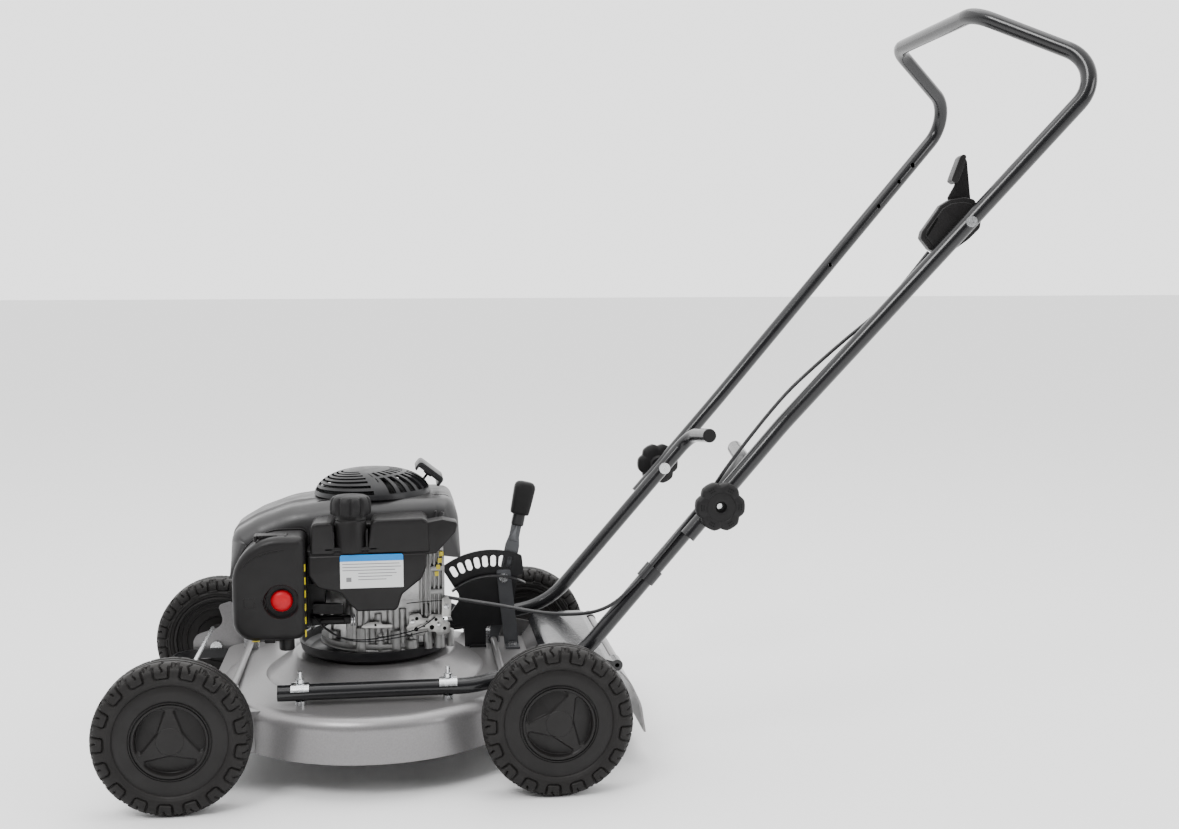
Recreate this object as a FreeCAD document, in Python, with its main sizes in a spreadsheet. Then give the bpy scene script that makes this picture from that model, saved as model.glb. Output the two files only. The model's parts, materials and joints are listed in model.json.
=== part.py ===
"""Push lawn mower: pressed deck, petrol engine, four wheels on crank arms, folding handle.

Millimetres.  Every place is first given by its station (distance behind the front wheels'
axle), its side (y, negative on the left) and its height above the ground.  Each sub-part's
Placement then moves the station back by Dims.origin_station, so that the origin is the
centre of the footprint, on the ground, with +X to the rear and +Z up.
"""
import FreeCAD, Part
import math
import os

import Sketcher
from FreeCAD import Placement, Rotation, Vector

DIMENSIONS = [
    ("origin_station", 562.1), ("wheelbase", 495.0), ("wheel_radius", 100.0),
    ("wheel_width", 52.0), ("overall_width", 560.0), ("axle_bolt_radius", 6.0),
    ("running_gap", 0.06), ("front_rod_station", 60.0), ("arm_plate", 4.0),
    ("arm_side", 196.0), ("cross_rod_radius", 5.0), ("engine_station", 254.0),
    ("deck_half_length", 224.0), ("deck_half_width", 256.0), ("deck_wall", 2.0),
    ("deck_rim", 50.0), ("deck_top", 111.0), ("deck_crown", 140.0), ("chute_half_width", 150.0),
    ("chute_top", 137.0), ("tube_radius", 11.0), ("tube_wall", 1.5), ("lower_side", 178.0),
    ("upper_side", 200.4), ("handle_slope", 1.146), ("fold_station", 720.0),
    ("fold_bolt_radius", 4.0), ("knob_radius", 33.0),
    ("knob_depth", 26.0), ("quadrant_plate", 3.0), ("quadrant_side", 98.0),
    ("notch_radius", 126.0), ("notch_step", 5.8), ("crankshaft_radius", 11.0),
    ("flywheel_radius", 74.0), ("blade_length", 416.0), ("blade_width", 50.0),
    ("blade_thickness", 3.0), ("blade_height", 60.0), ("dome_radius", 84.0),
    ("dome_base", 372.0), ("dome_top", 408.0), ("tank_face", 148.0), ("filter_face", 170.0),
    ("cap_radius", 28.0), ("primer_radius", 15.0), ("cable_radius", 2.5),
    ("shroud_wall", 3.0), ("rod_height", 119.0), ("rear_rod_station", 435.0),
]
NODE_LIMIT = 60
CONTACT_GAP = 0.05

doc = FreeCAD.newDocument("push_mower")
sheet = doc.addObject("Spreadsheet::Sheet", "Dims")
for row, (alias, size) in enumerate(DIMENSIONS, start=1):
    sheet.set("A%d" % row, alias)
    sheet.set("B%d" % row, repr(size))
    sheet.setAlias("B%d" % row, alias)
doc.recompute()
D = {alias: float(sheet.get(alias)) for alias, _ in DIMENSIONS}

LEFT, RIGHT = -1, 1
SIDES = {"left": LEFT, "right": RIGHT}
FRONT_ROD = D["front_rod_station"]
REAR_ROD = D["rear_rod_station"]
ROD_HEIGHT = D["rod_height"]
WHEEL_SIDE = (D["overall_width"] - D["wheel_width"]) / 2
ENGINE = D["engine_station"]
nodes = {}


# ---------------------------------------------------------------- general helpers
def keep(obj, name, side=None, height=None, station=None):
    """Register a finished sub-part under its node name and bind its Placement."""
    obj.Label = name
    shift = "-Dims.origin_station"
    if station:
        shift = station + " - Dims.origin_station"
    obj.setExpression("Placement.Base.x", shift)
    if side:
        obj.setExpression("Placement.Base.y", side)
    if height:
        obj.setExpression("Placement.Base.z", height)
    nodes[name] = obj
    return obj


def tilted(obj, degrees):
    """Lean a kept sub-part rearwards about its own origin."""
    obj.Placement.Rotation = Rotation(Vector(0, 1, 0), degrees)


def new_body(name):
    return doc.addObject("PartDesign::Body", name + "_body")


def plane_of(body, role):
    for feature in body.Origin.OriginFeatures:
        if feature.Role == role:
            return feature
    raise RuntimeError("no plane " + role)


def add_sketch(body, role, lift=0.0):
    """Sketch on an origin plane, moved by lift along that plane's normal."""
    sketch = body.newObject("Sketcher::SketchObject", body.Name + "_sketch")
    sketch.AttachmentSupport = [(plane_of(body, role), "")]
    sketch.MapMode = "FlatFace"
    sketch.AttachmentOffset = Placement(Vector(0, 0, lift), Rotation())
    return sketch


def unit(vector):
    return vector * (1.0 / vector.Length)


def corner_arc(before, corner, after, radius):
    """Tangent points and mid point of the arc that rounds a corner."""
    back = unit(before - corner)
    ahead = unit(after - corner)
    half = back.getAngle(ahead) / 2
    reach = radius / math.tan(half)
    start = corner + back * reach
    end = corner + ahead * reach
    middle_way = unit(back + ahead)
    middle = corner + middle_way * (radius / math.sin(half) - radius)
    return start, middle, end


def outline_edges(points):
    """Edges of a closed outline of (x, y) or (x, y, corner radius) points."""
    corners = [Vector(point[0], point[1], 0) for point in points]
    radii = [point[2] if len(point) > 2 else 0.0 for point in points]
    count = len(corners)
    stops = []
    for i in range(count):
        if radii[i] > 0:
            stops.append(corner_arc(corners[i - 1], corners[i], corners[(i + 1) % count], radii[i]))
        else:
            stops.append((corners[i], None, corners[i]))
    edges = []
    for i in range(count):
        start, middle, end = stops[i]
        if middle is not None:
            edges.append(Part.Arc(start, middle, end))
        following = stops[(i + 1) % count][0]
        if (following - end).Length > 1e-6:
            edges.append(Part.LineSegment(end, following))
    return edges


def draw_outline(sketch, points):
    sketch.addGeometry(outline_edges(points), False)


def draw_circle(sketch, x, y, radius, expression=None):
    index = sketch.addGeometry(Part.Circle(Vector(x, y, 0), Vector(0, 0, 1), radius), False)
    if expression:
        number = sketch.addConstraint(Sketcher.Constraint("Radius", index, radius))
        sketch.renameConstraint(number, "radius%d" % number)
        sketch.setExpression("Constraints.radius%d" % number, expression)


def draw_oval(sketch, half_x, half_y, side_radius):
    """Oval of four tangent arcs; the two arcs at the sides (y) have side_radius."""
    rise = half_y - side_radius
    end_radius = (half_x ** 2 + rise ** 2 - side_radius ** 2) / (2 * (half_x - side_radius))
    end_centre = Vector(end_radius - half_x, 0, 0)
    way = unit(Vector(0, rise, 0) - end_centre)
    joint = end_centre + way * end_radius
    for turn in (1, -1):
        side_low = Vector(turn * joint.x, turn * joint.y, 0)
        side_high = Vector(-turn * joint.x, turn * joint.y, 0)
        end_low = Vector(turn * joint.x, -turn * joint.y, 0)
        sketch.addGeometry(Part.Arc(side_low, Vector(0, turn * half_y, 0), side_high), False)
        sketch.addGeometry(Part.Arc(end_low, Vector(-turn * half_x, 0, 0), side_low), False)


def add_feature(body, kind, sketch, length, expression=None):
    """Pad along the sketch normal, or Pocket against it; a Pocket has to remove metal."""
    before = body.Shape.Volume if kind == "Pocket" else 0.0
    feature = body.newObject("PartDesign::" + kind, body.Name + "_" + kind.lower())
    feature.Profile = sketch
    feature.Length = length
    if expression:
        feature.setExpression("Length", expression)
    doc.recompute()
    if kind == "Pocket" and body.Shape.Volume > before - 1e-3:
        raise RuntimeError(body.Name + ": a pocket cuts nothing")
    return feature


def prism(body, role, low, high, points=None, circle=None, oval=None, cut=False, bind=None):
    """Pad or pocket between two levels along the plane's own world axis."""
    starts_high = (role == "XZ_Plane") != cut
    level = high if starts_high else low
    sketch = add_sketch(body, role, -level if role == "XZ_Plane" else level)
    if points:
        draw_outline(sketch, points)
    if circle:
        draw_circle(sketch, *circle)
    if oval:
        draw_oval(sketch, *oval)
    return add_feature(body, "Pocket" if cut else "Pad", sketch, high - low, bind)


def revolve(body, points, axis="V_Axis", role="XY_Plane", cut=False):
    """Full turn of an outline about one of its sketch's own axes."""
    sketch = add_sketch(body, role)
    draw_outline(sketch, points)
    before = body.Shape.Volume if cut else 0.0
    kind = "PartDesign::Groove" if cut else "PartDesign::Revolution"
    feature = body.newObject(kind, body.Name + "_turn")
    feature.Profile = sketch
    feature.ReferenceAxis = (sketch, [axis])
    feature.Angle = 360
    doc.recompute()
    if cut and body.Shape.Volume > before - 1e-3:
        raise RuntimeError(body.Name + ": a groove cuts nothing")
    return feature


def round_edges(body, radius, chooser):
    """Fillet the edges of the body's tip that chooser accepts."""
    tip = body.Tip
    names = ["Edge%d" % (i + 1) for i, edge in enumerate(tip.Shape.Edges) if chooser(edge)]
    if not names:
        raise RuntimeError(body.Name + ": no edge to round")
    feature = body.newObject("PartDesign::Fillet", body.Name + "_fillet")
    feature.Base = (tip, names)
    feature.Radius = radius
    doc.recompute()
    return feature


def edges_at(axis, level, tolerance=0.05):
    """Chooser of the edges that lie wholly at one level of x (0), y (1) or z (2)."""
    def chooser(edge):
        box = edge.BoundBox
        low = (box.XMin, box.YMin, box.ZMin)[axis]
        high = (box.XMax, box.YMax, box.ZMax)[axis]
        return abs(low - level) < tolerance and abs(high - level) < tolerance
    return chooser


def polar(body, feature, axis_role, count):
    pattern = body.newObject("PartDesign::PolarPattern", body.Name + "_pattern")
    pattern.Originals = [feature]
    pattern.Axis = (plane_of(body, axis_role), [""])
    pattern.Angle = 360
    pattern.Occurrences = count
    body.Tip = pattern
    doc.recompute()
    return pattern


def inset(points, gap):
    """Outline moved inwards by gap (anticlockwise outlines), with its corner radii."""
    count = len(points)
    moved = []
    for i in range(count):
        last, here, ahead = points[i - 1], points[i], points[(i + 1) % count]
        way_in = unit(Vector(here[0] - last[0], here[1] - last[1], 0))
        way_out = unit(Vector(ahead[0] - here[0], ahead[1] - here[1], 0))
        turn = way_in.x * way_out.y - way_in.y * way_out.x
        normal_in = Vector(-way_in.y, way_in.x, 0)
        normal_out = Vector(-way_out.y, way_out.x, 0)
        bisector = normal_in + normal_out
        scale = 2 * gap / (bisector.Length ** 2)
        radius = here[2] if len(here) > 2 else 0.0
        if radius > 0:
            radius = max(radius - gap, 0.5) if turn > 0 else radius + gap
        moved.append((here[0] + bisector.x * scale, here[1] + bisector.y * scale, radius))
    return moved


def path_wire(points, radii):
    """Straight runs joined by tangent arcs, one radius for each inner point."""
    corners = [Vector(*point) for point in points]
    edges = []
    at = corners[0]
    for i in range(1, len(corners) - 1):
        start, middle, end = corner_arc(corners[i - 1], corners[i], corners[i + 1], radii[i - 1])
        if (start - at).Length > 1e-6:
            edges.append(Part.LineSegment(at, start).toShape())
        edges.append(Part.Arc(start, middle, end).toShape())
        at = end
    edges.append(Part.LineSegment(at, corners[-1]).toShape())
    return Part.Wire(edges)


def swept_tube(wire, outer, inner=None):
    """Round bar or tube along a wire, checked against its section times its length."""
    first = wire.Edges[0]
    start = first.valueAt(first.FirstParameter)
    way = first.tangentAt(first.FirstParameter)
    solids = []
    for radius in (outer, inner):
        if radius:
            ring = Part.Wire(Part.makeCircle(radius, start, way))
            solids.append(wire.makePipeShell([ring], True, False))
    solid = solids[0].cut(solids[1]) if inner else solids[0]
    expected = math.pi * (outer ** 2 - (inner or 0.0) ** 2) * wire.Length
    if abs(solid.Volume / expected - 1) > 0.01:
        raise RuntimeError("a swept tube has the wrong volume")
    return solid


def cylinder_between(base, tip, radius):
    way = Vector(*tip) - Vector(*base)
    return Part.makeCylinder(radius, way.Length, Vector(*base), way)


def shaped(name, shape):
    """Sub-part whose shape is a bent tube or another form no feature makes directly."""
    feature = doc.addObject("Part::Feature", name + "_shape")
    feature.Shape = shape
    return keep(feature, name)


def primitive(kind, name, base=(0, 0, 0), direction=(0, 0, 1), **sizes):
    """Part primitive with sizes bound to expressions or given as plain numbers."""
    obj = doc.addObject("Part::" + kind, name)
    for prop, size in sizes.items():
        if isinstance(size, str):
            obj.setExpression(prop, size)
        else:
            setattr(obj, prop, size)
    turn = Rotation(Vector(0, 0, 1), Vector(*direction))
    obj.Placement = Placement(Vector(*base), turn)
    return obj


def group(name, members):
    """Identical loose pieces kept as separate solids of one node."""
    bundle = doc.addObject("Part::Compound", name + "_group")
    bundle.Links = members
    return keep(bundle, name)


def fuse(name, members):
    joined = doc.addObject("Part::MultiFuse", name)
    joined.Shapes = members
    return joined


def carve(name, base, tool):
    result = doc.addObject("Part::Cut", name)
    result.Base = base
    result.Tool = tool
    return result


# ---------------------------------------------------------------- deck
SHOULDER_RADIUS = 18.0
SIDE_CURVE = 215.0
CROWN_RADIUS = 118.0
CROWN_FOOT = 160.0
APRON_FRONT = 24.0
APRON_BACK = 150.0
APRON_HALF_WIDTH = 186.0
APRON_TOP = 107.0
CHUTE_STEP = 502.0
CHUTE_END = 583.0
DECK_STUDS = [(156.0, LEFT), (156.0, RIGHT), (354.0, LEFT), (354.0, RIGHT)]


def deck_form(name, gap, below, behind):
    """Solid form of the deck, smaller by gap all over, run on below and behind."""
    body = new_body(name)
    floor = D["deck_rim"] - below
    top = D["deck_top"] - gap
    prism(body, "XY_Plane", floor, top,
          oval=(D["deck_half_length"] - gap, D["deck_half_width"] - gap, SIDE_CURVE - gap))
    round_edges(body, SHOULDER_RADIUS - gap, edges_at(2, top))
    revolve(body, [(0, top - 20), (CROWN_FOOT, top - 20), (CROWN_FOOT, top, 12.0 + gap),
                   (CROWN_RADIUS - gap, D["deck_crown"] - gap, 10.0 - gap), (0, D["deck_crown"] - gap)],
            role="XZ_Plane")
    front = APRON_FRONT - ENGINE + gap
    half = APRON_HALF_WIDTH - gap
    back = APRON_BACK - ENGINE
    corner = 34.0 - gap
    prism(body, "XY_Plane", floor, APRON_TOP - gap,
          points=[(front, -half, corner), (back, -half), (back, half), (front, half, corner)])
    half = D["chute_half_width"] - gap
    end = CHUTE_END - ENGINE + behind
    prism(body, "XY_Plane", floor, top,
          points=[(120, -half), (end, -half), (end, half), (120, half)])
    step = CHUTE_STEP - ENGINE + gap
    prism(body, "XZ_Plane", -half, half,
          points=[(step - 26, top - 10), (end, top - 10), (end, D["chute_top"] - gap),
                  (step, D["chute_top"] - gap, 12.0)])
    return body


def build_deck():
    wall = D["deck_wall"]
    outer = deck_form("deck_outside", 0.0, 0.0, 0.0)
    inner = deck_form("deck_inside", wall, 10.0, 10.0)
    shell = carve("deck_hollowed", outer, inner)
    shaft = primitive("Cylinder", "shaft_hole", (0, 0, 100), Radius=32.0, Height=60.0)
    cutters = [shaft]
    for station, side in DECK_STUDS:
        hole = primitive("Cylinder", "stud_hole", (station - ENGINE, side * D["lower_side"], 80),
                         Radius=3.3, Height=60.0)
        cutters.append(hole)
    holes = fuse("deck_holes", cutters)
    keep(carve("deck_pressing", shell, holes), "deck_shell", station="Dims.engine_station")


def build_front_bumper():
    body = new_body("front_bumper")
    side = APRON_HALF_WIDTH + CONTACT_GAP
    bar = 3.0
    outer = side + bar
    front = -62.0
    loop = [(74, -side), (74, -outer), (front, -outer, 34), (front, outer, 34), (74, outer),
            (74, side), (front + bar, side, 30), (front + bar, -side, 30)]
    prism(body, "XY_Plane", 84, 98, points=loop)
    keep(body, "front_bumper")


def build_chute_cover():
    """Black plate over the chute whose rear eyes hold the flap rod."""
    body = new_body("chute_cover")
    top = D["chute_top"]
    half = D["chute_half_width"]
    prism(body, "XZ_Plane", -half, half,
          points=[(CHUTE_STEP - 8, top + 0.05), (578, top + 0.05), (590, top + 1, 3),
                  (590, top + 8, 4), (576, top + 12, 10), (CHUTE_STEP, top + 12, 8)])
    for low in (-half, half - 28):
        prism(body, "XZ_Plane", low, low + 28, circle=(592, top + 3, 8.0))
    prism(body, "XZ_Plane", -half + 28, half - 28, cut=True, circle=(592, top + 3, 9.5))
    prism(body, "XZ_Plane", -half, half, cut=True, circle=(592, top + 3, 3.05))
    keep(body, "chute_cover")


def build_flap():
    """Curved guard that hangs from the flap rod and swings up behind the chute."""
    top = D["chute_top"] + 3
    half = D["chute_half_width"] - 30
    rod = primitive("Cylinder", "flap_rod_bar", (592, -D["chute_half_width"] - 4, top), (0, 1, 0),
                    Radius=3.0, Height=2 * D["chute_half_width"] + 8)
    keep(rod, "flap_rod")
    body = new_body("rear_flap")
    prism(body, "XZ_Plane", -half, half, circle=(592, top, 6.5))
    prism(body, "XZ_Plane", -D["chute_half_width"], D["chute_half_width"],
          points=[(598, top - 9), (612, top - 26, 60), (627, top - 58, 60), (633, 42),
                  (630, 42), (624, top - 58, 57), (609, top - 26, 57), (594.5, top - 9)])
    prism(body, "XZ_Plane", -half, half,
          points=[(588, top - 4), (594, top - 12), (603, top - 13), (598, top + 1)])
    prism(body, "XZ_Plane", -half, half, cut=True, circle=(592, top, 3.06))
    keep(body, "rear_flap")


# ---------------------------------------------------------------- wheels and height adjuster
TYRE_SEAT = 72.0
CAP_RADIUS = 51.0
LINK_ARM = 32.0
LINK_LEAN = math.radians(20.3)
FRONT_PIN = (FRONT_ROD - LINK_ARM * math.sin(LINK_LEAN), ROD_HEIGHT + LINK_ARM * math.cos(LINK_LEAN))
REAR_PIN = (REAR_ROD - LINK_ARM * math.sin(LINK_LEAN), ROD_HEIGHT - LINK_ARM * math.cos(LINK_LEAN))
LINK_PIN_RADIUS = 3.5
NOTCHES = 8
NOTCH_HALF_LENGTH = 9.0
NOTCH_HALF_WIDTH = 4.2
STRAP_BOLT = (REAR_ROD + 16, ROD_HEIGHT + 100)
STRAP_FOOT = (463.0, 82.0)
LEVER_TILT = 11.8
LEVER_EYE = 7.8
GRIP_LOW = 194.0
GRIP_HIGH = 250.0


def build_wheel(end, side_name):
    """One wheel: a moulded hub with its cap, and the tyre stretched over it."""
    side = SIDES[side_name]
    half = D["wheel_width"] / 2
    tread = D["wheel_radius"]
    station = "Dims.wheelbase" if end == "rear" else None
    across = "%d * (Dims.overall_width - Dims.wheel_width) / 2" % side
    tyre_name = "tyre_%s_%s" % (end, side_name)
    tyre = new_body(tyre_name)
    revolve(tyre, [(TYRE_SEAT, 3 - half), (84, -half, 4), (94, 2 - half, 4), (tread, 9 - half, 3),
                   (tread, half - 9, 3), (94, half - 2, 4), (84, half, 4), (TYRE_SEAT, half - 3)])
    keep(tyre, tyre_name, across, "Dims.wheel_radius", station)
    hub_name = "hub_%s_%s" % (end, side_name)
    hub = new_body(hub_name)
    cap = half - 2
    bore = D["axle_bolt_radius"] + D["running_gap"]
    profile = [(0, cap), (CAP_RADIUS, cap), (CAP_RADIUS, cap - 3), (66, cap - 3),
               (TYRE_SEAT, half - 4), (TYRE_SEAT, 4 - half), (66, 4 - half), (62, 10, 4),
               (22, 10, 4), (20, 2 - half), (bore, 2 - half), (bore, 16), (0, 16)]
    revolve(hub, [(radius, side * out, *rounding) for radius, out, *rounding in profile])
    keep(hub, hub_name, across, "Dims.wheel_radius", station)


FRONT_ARM = [(-36, 79, 16), (-36, 118, 16), (14, 133, 16), (4, 166, 5), (24, 172, 5),
             (38, 148, 12), (62, 140, 10), (78, 122, 8), (76, 106, 6), (24, 84, 20)]
REAR_ARM = [(424, 108, 8), (424, 134, 10), (452, 134, 10), (522, 118, 18), (522, 82, 18),
            (468, 92, 20), (430, 104, 4)]


def build_axle(name, rod_station, arm_points, link_pin, ear):
    """Cross rod with a crank arm welded on each end; the right arm carries the link pin."""
    body = new_body(name)
    inner, outer = D["arm_side"], D["arm_side"] + D["arm_plate"]
    wheel_station = 0.0 if rod_station < ENGINE else D["wheelbase"]
    prism(body, "XZ_Plane", -outer, outer, circle=(rod_station, ROD_HEIGHT, D["cross_rod_radius"]))
    for low in (-outer, inner):
        prism(body, "XZ_Plane", low, low + D["arm_plate"], points=arm_points)
    prism(body, "XZ_Plane", inner, outer, points=ear)
    prism(body, "XZ_Plane", inner, outer + 9, circle=(*link_pin, LINK_PIN_RADIUS))
    hole = (wheel_station, D["wheel_radius"], D["axle_bolt_radius"] + 0.05)
    prism(body, "XZ_Plane", -outer, outer, cut=True, circle=hole)
    keep(body, name)


def build_axle_bolts(name, station):
    """Two stub bolts that the wheels turn on, heads on the inner sides of the arms."""
    members = []
    for side in (LEFT, RIGHT):
        base = (station, side * (D["arm_side"] - 5.6), D["wheel_radius"])
        head = primitive("Cylinder", name + "_head", base, (0, side, 0), Radius=9.0, Height=5.5)
        shank = primitive("Cylinder", name + "_shank", base, (0, side, 0),
                          Radius="Dims.axle_bolt_radius",
                          Height="(Dims.overall_width - Dims.wheel_width) / 2 + 15 - Dims.arm_side + 5.6")
        members.append(fuse(name + "_bolt", [head, shank]))
    group(name, members)


def build_axles():
    lean = 9.0
    front_ear = [(FRONT_PIN[0] - lean, FRONT_PIN[1] + 6, 6), (FRONT_PIN[0] - lean, 120),
                 (FRONT_ROD + 10, 120), (FRONT_PIN[0] + lean + 2, FRONT_PIN[1] + 6, 6)]
    rear_ear = [(REAR_PIN[0] - lean, REAR_PIN[1] - 8, 7), (REAR_PIN[0] + lean, REAR_PIN[1] - 8, 7),
                (REAR_ROD + 12, 122), (REAR_ROD - 11, 122)]
    build_axle("front_axle", FRONT_ROD, FRONT_ARM, FRONT_PIN, front_ear)
    build_axle("rear_axle", REAR_ROD, REAR_ARM, REAR_PIN, rear_ear)
    build_axle_bolts("front_axle_bolts", 0.0)
    build_axle_bolts("rear_axle_bolts", D["wheelbase"])


def build_link_rod():
    """Flat bar between the two right-hand arms; its front eye is slotted."""
    body = new_body("link_rod")
    low = D["arm_side"] + D["arm_plate"] + 2
    high = low + 4
    front_x, front_z = FRONT_PIN
    rear_x, rear_z = REAR_PIN
    prism(body, "XZ_Plane", low, high,
          points=[(front_x - 2, front_z - 7), (rear_x - 55, front_z - 7, 20), (rear_x - 9, rear_z - 4, 8),
                  (rear_x + 2, rear_z - 11, 8), (rear_x + 10, rear_z + 1, 8),
                  (rear_x - 46, front_z + 8, 24), (front_x - 2, front_z + 8)])
    prism(body, "XZ_Plane", low, high, circle=(front_x, front_z + 2, 13.0))
    eye = LINK_PIN_RADIUS + D["running_gap"]
    prism(body, "XZ_Plane", low, high, cut=True, circle=(rear_x, rear_z, eye))
    half = LINK_PIN_RADIUS + 0.4
    corner = half - 0.1
    bottom, top = front_z - half - 0.4, front_z + half + 4.6
    slot = [(front_x - half, bottom, corner), (front_x + half, bottom, corner),
            (front_x + half, top, corner), (front_x - half, top, corner)]
    prism(body, "XZ_Plane", low, high, cut=True, points=slot)
    keep(body, "link_rod")


def build_rod_brackets():
    """Four bearing blocks that carry the two cross rods on the deck."""
    members = []
    bore = "Dims.cross_rod_radius + Dims.running_gap"
    for station, foot, side_at in ((FRONT_ROD, APRON_TOP, 148.0), (REAR_ROD, D["deck_top"], 122.0)):
        for side in (LEFT, RIGHT):
            low = side * side_at - 8
            block = primitive("Box", "bracket_block", (station - 11, low, foot + 0.05),
                              Length=22.0, Width=16.0, Height=ROD_HEIGHT + 11 - foot)
            hole = primitive("Cylinder", "bracket_bore", (station, low - 1, ROD_HEIGHT), (0, 1, 0),
                             Radius=bore, Height=18.0)
            members.append(carve("bracket", block, hole))
    group("rod_brackets", members)


def build_quadrant():
    """Notched plate of the height adjuster, about the rear cross rod's axis."""
    body = new_body("height_quadrant")
    high = D["quadrant_side"]
    low = high - D["quadrant_plate"]
    foot = D["deck_top"] - ROD_HEIGHT + CONTACT_GAP
    prism(body, "XZ_Plane", low, high, bind="Dims.quadrant_plate",
          points=[(-45, foot), (-12, foot), (-12, 24, 6), (28, 24, 8), (38, 102, 4), (48, 104, 5),
                  (45, 134, 5), (-21.6, 157.2, 125), (-80, 118, 6), (-62, 88, 4), (-50, 70, 16),
                  (-68, 44, 8), (-60, 26, 6), (-45, 24, 4)])
    prism(body, "XY_Plane", foot, foot + 3,
          points=[(-38, low - 9), (-12, low - 9), (-12, high), (-38, high)])
    radius = D["notch_radius"]
    turn = math.radians(90 - LEVER_TILT)
    middle = Vector(radius * math.cos(turn), radius * math.sin(turn), 0)
    along = unit(middle)
    across = Vector(-along.y, along.x, 0)
    corners = []
    for reach, width in ((-NOTCH_HALF_LENGTH, -NOTCH_HALF_WIDTH), (-NOTCH_HALF_LENGTH, NOTCH_HALF_WIDTH),
                         (NOTCH_HALF_LENGTH, NOTCH_HALF_WIDTH), (NOTCH_HALF_LENGTH, -NOTCH_HALF_WIDTH)):
        corner = middle + along * reach + across * width
        corners.append((corner.x, corner.y, NOTCH_HALF_WIDTH - 0.1))
    notch = prism(body, "XZ_Plane", low, high, cut=True, points=corners)
    rest = body.Shape.Volume
    pattern = body.newObject("PartDesign::PolarPattern", "notches")
    pattern.Originals = [notch]
    pattern.Axis = (plane_of(body, "Y_Axis"), [""])
    pattern.setExpression("Angle", "%d * Dims.notch_step" % (NOTCHES - 1))
    pattern.Occurrences = NOTCHES
    pattern.Reversed = True
    body.Tip = pattern
    doc.recompute()
    if body.Shape.Volume > rest - 1:
        raise RuntimeError("the notches were not repeated")
    prism(body, "XZ_Plane", low, high, cut=True,
          circle=(STRAP_BOLT[0] - REAR_ROD, STRAP_BOLT[1] - ROD_HEIGHT, 4.1))
    keep(body, "height_quadrant", height="Dims.rod_height", station="Dims.rear_rod_station")


def build_strap():
    """Grey strap that steadies the notched plate from behind."""
    body = new_body("quadrant_strap")
    high = D["quadrant_side"] - D["quadrant_plate"] - 0.1
    low = high - 3
    floor = D["deck_top"] + CONTACT_GAP
    x, z = STRAP_BOLT
    prism(body, "XZ_Plane", low, high,
          points=[(452, floor), (474, floor), (x + 11, z + 12, 4), (x - 11, z + 12, 4)])
    prism(body, "XY_Plane", floor, floor + 3,
          points=[(452, low - 24), (474, low - 24), (474, high), (452, high)])
    prism(body, "XZ_Plane", low, high, cut=True, circle=(x, z, 4.1))
    prism(body, "XY_Plane", floor, floor + 3, cut=True, circle=(*STRAP_FOOT, 4.1))
    keep(body, "quadrant_strap")


def build_lever():
    """Height lever on the rear cross rod, with a stub that faces the notches."""
    body = new_body("height_lever")
    low = D["quadrant_side"] + 3
    high = low + 4
    tang = GRIP_LOW + 44
    prism(body, "XZ_Plane", low, high, circle=(0, 0, LEVER_EYE))
    prism(body, "XZ_Plane", low, high,
          points=[(-6, 0), (6, 0), (11, 40, 20), (11, 152, 20), (8, 166, 20), (8, tang),
                  (-8, tang), (-8, 166, 20), (-11, 152, 20), (-11, 40, 20)])
    prism(body, "XZ_Plane", D["quadrant_side"] + 0.4, high, circle=(0, D["notch_radius"], 3.6))
    prism(body, "XZ_Plane", low, high, cut=True, circle=(0, 0, D["cross_rod_radius"] + 0.02))
    on_rod = {"height": "Dims.rod_height", "station": "Dims.rear_rod_station"}
    tilted(keep(body, "height_lever", **on_rod), LEVER_TILT)
    grip = new_body("lever_grip")
    middle = (low + high) / 2
    prism(grip, "XZ_Plane", middle - 10, middle + 10,
          points=[(-11, GRIP_LOW, 3), (11, GRIP_LOW, 3), (14.5, GRIP_HIGH, 5), (-14.5, GRIP_HIGH, 5)])
    socket = 8.05
    prism(grip, "XZ_Plane", low - 0.05, high + 0.05, cut=True,
          points=[(-socket, GRIP_LOW - 1), (socket, GRIP_LOW - 1), (socket, tang + 0.1), (-socket, tang + 0.1)])
    tilted(keep(grip, "lever_grip", **on_rod), LEVER_TILT)


def build_frame_fasteners():
    """Bolts of the quadrant strap: one through the plate, one down into the deck."""
    x, z = STRAP_BOLT
    face = D["quadrant_side"] - D["quadrant_plate"] - 3.15
    top = D["deck_top"] + 3.1
    bolts = []
    for name, seat, outwards, length in (("plate_bolt", (x, face, z), (0, -1, 0), 8.0),
                                         ("foot_bolt", (*STRAP_FOOT, top), (0, 0, 1), 4.0)):
        inwards = Vector(*outwards) * -1
        head = primitive("Cylinder", name + "_head", seat, outwards, Radius=7.0, Height=4.5)
        start = Vector(*seat) - inwards
        shank = primitive("Cylinder", name + "_shank", start, inwards, Radius=4.0, Height=length)
        bolts.append(fuse(name, [head, shank]))
    group("frame_fasteners", bolts)


# ---------------------------------------------------------------- handle
TUBE_HEIGHT = 128.0
RISE_START = 529.0
RISE_HEIGHT = 156.0
HORN_CORNER = 766.0
HORN = (776.0, 84.0, 436.0)
SPLAY_START = 812.0
CORNER_A = (1240.0, 271.0, 959.0)
CORNER_B = (1096.0, 152.0, 1047.0)
CORNER_BEND = 52.0
UPPER_START = 681.0
SPARE_HOLES = [(1012.0, 3.5), (1100.0, 3.5), (1137.0, 3.5), (1162.0, 4.25)]
THROTTLE_STATION = 1058.0
CLIP_STATION = 633.0
CLIP_LENGTH = 22.0


def rise_at(station):
    """Height of the sloping tubes' axis at a station."""
    return RISE_HEIGHT + D["handle_slope"] * (station - RISE_START)


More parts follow.
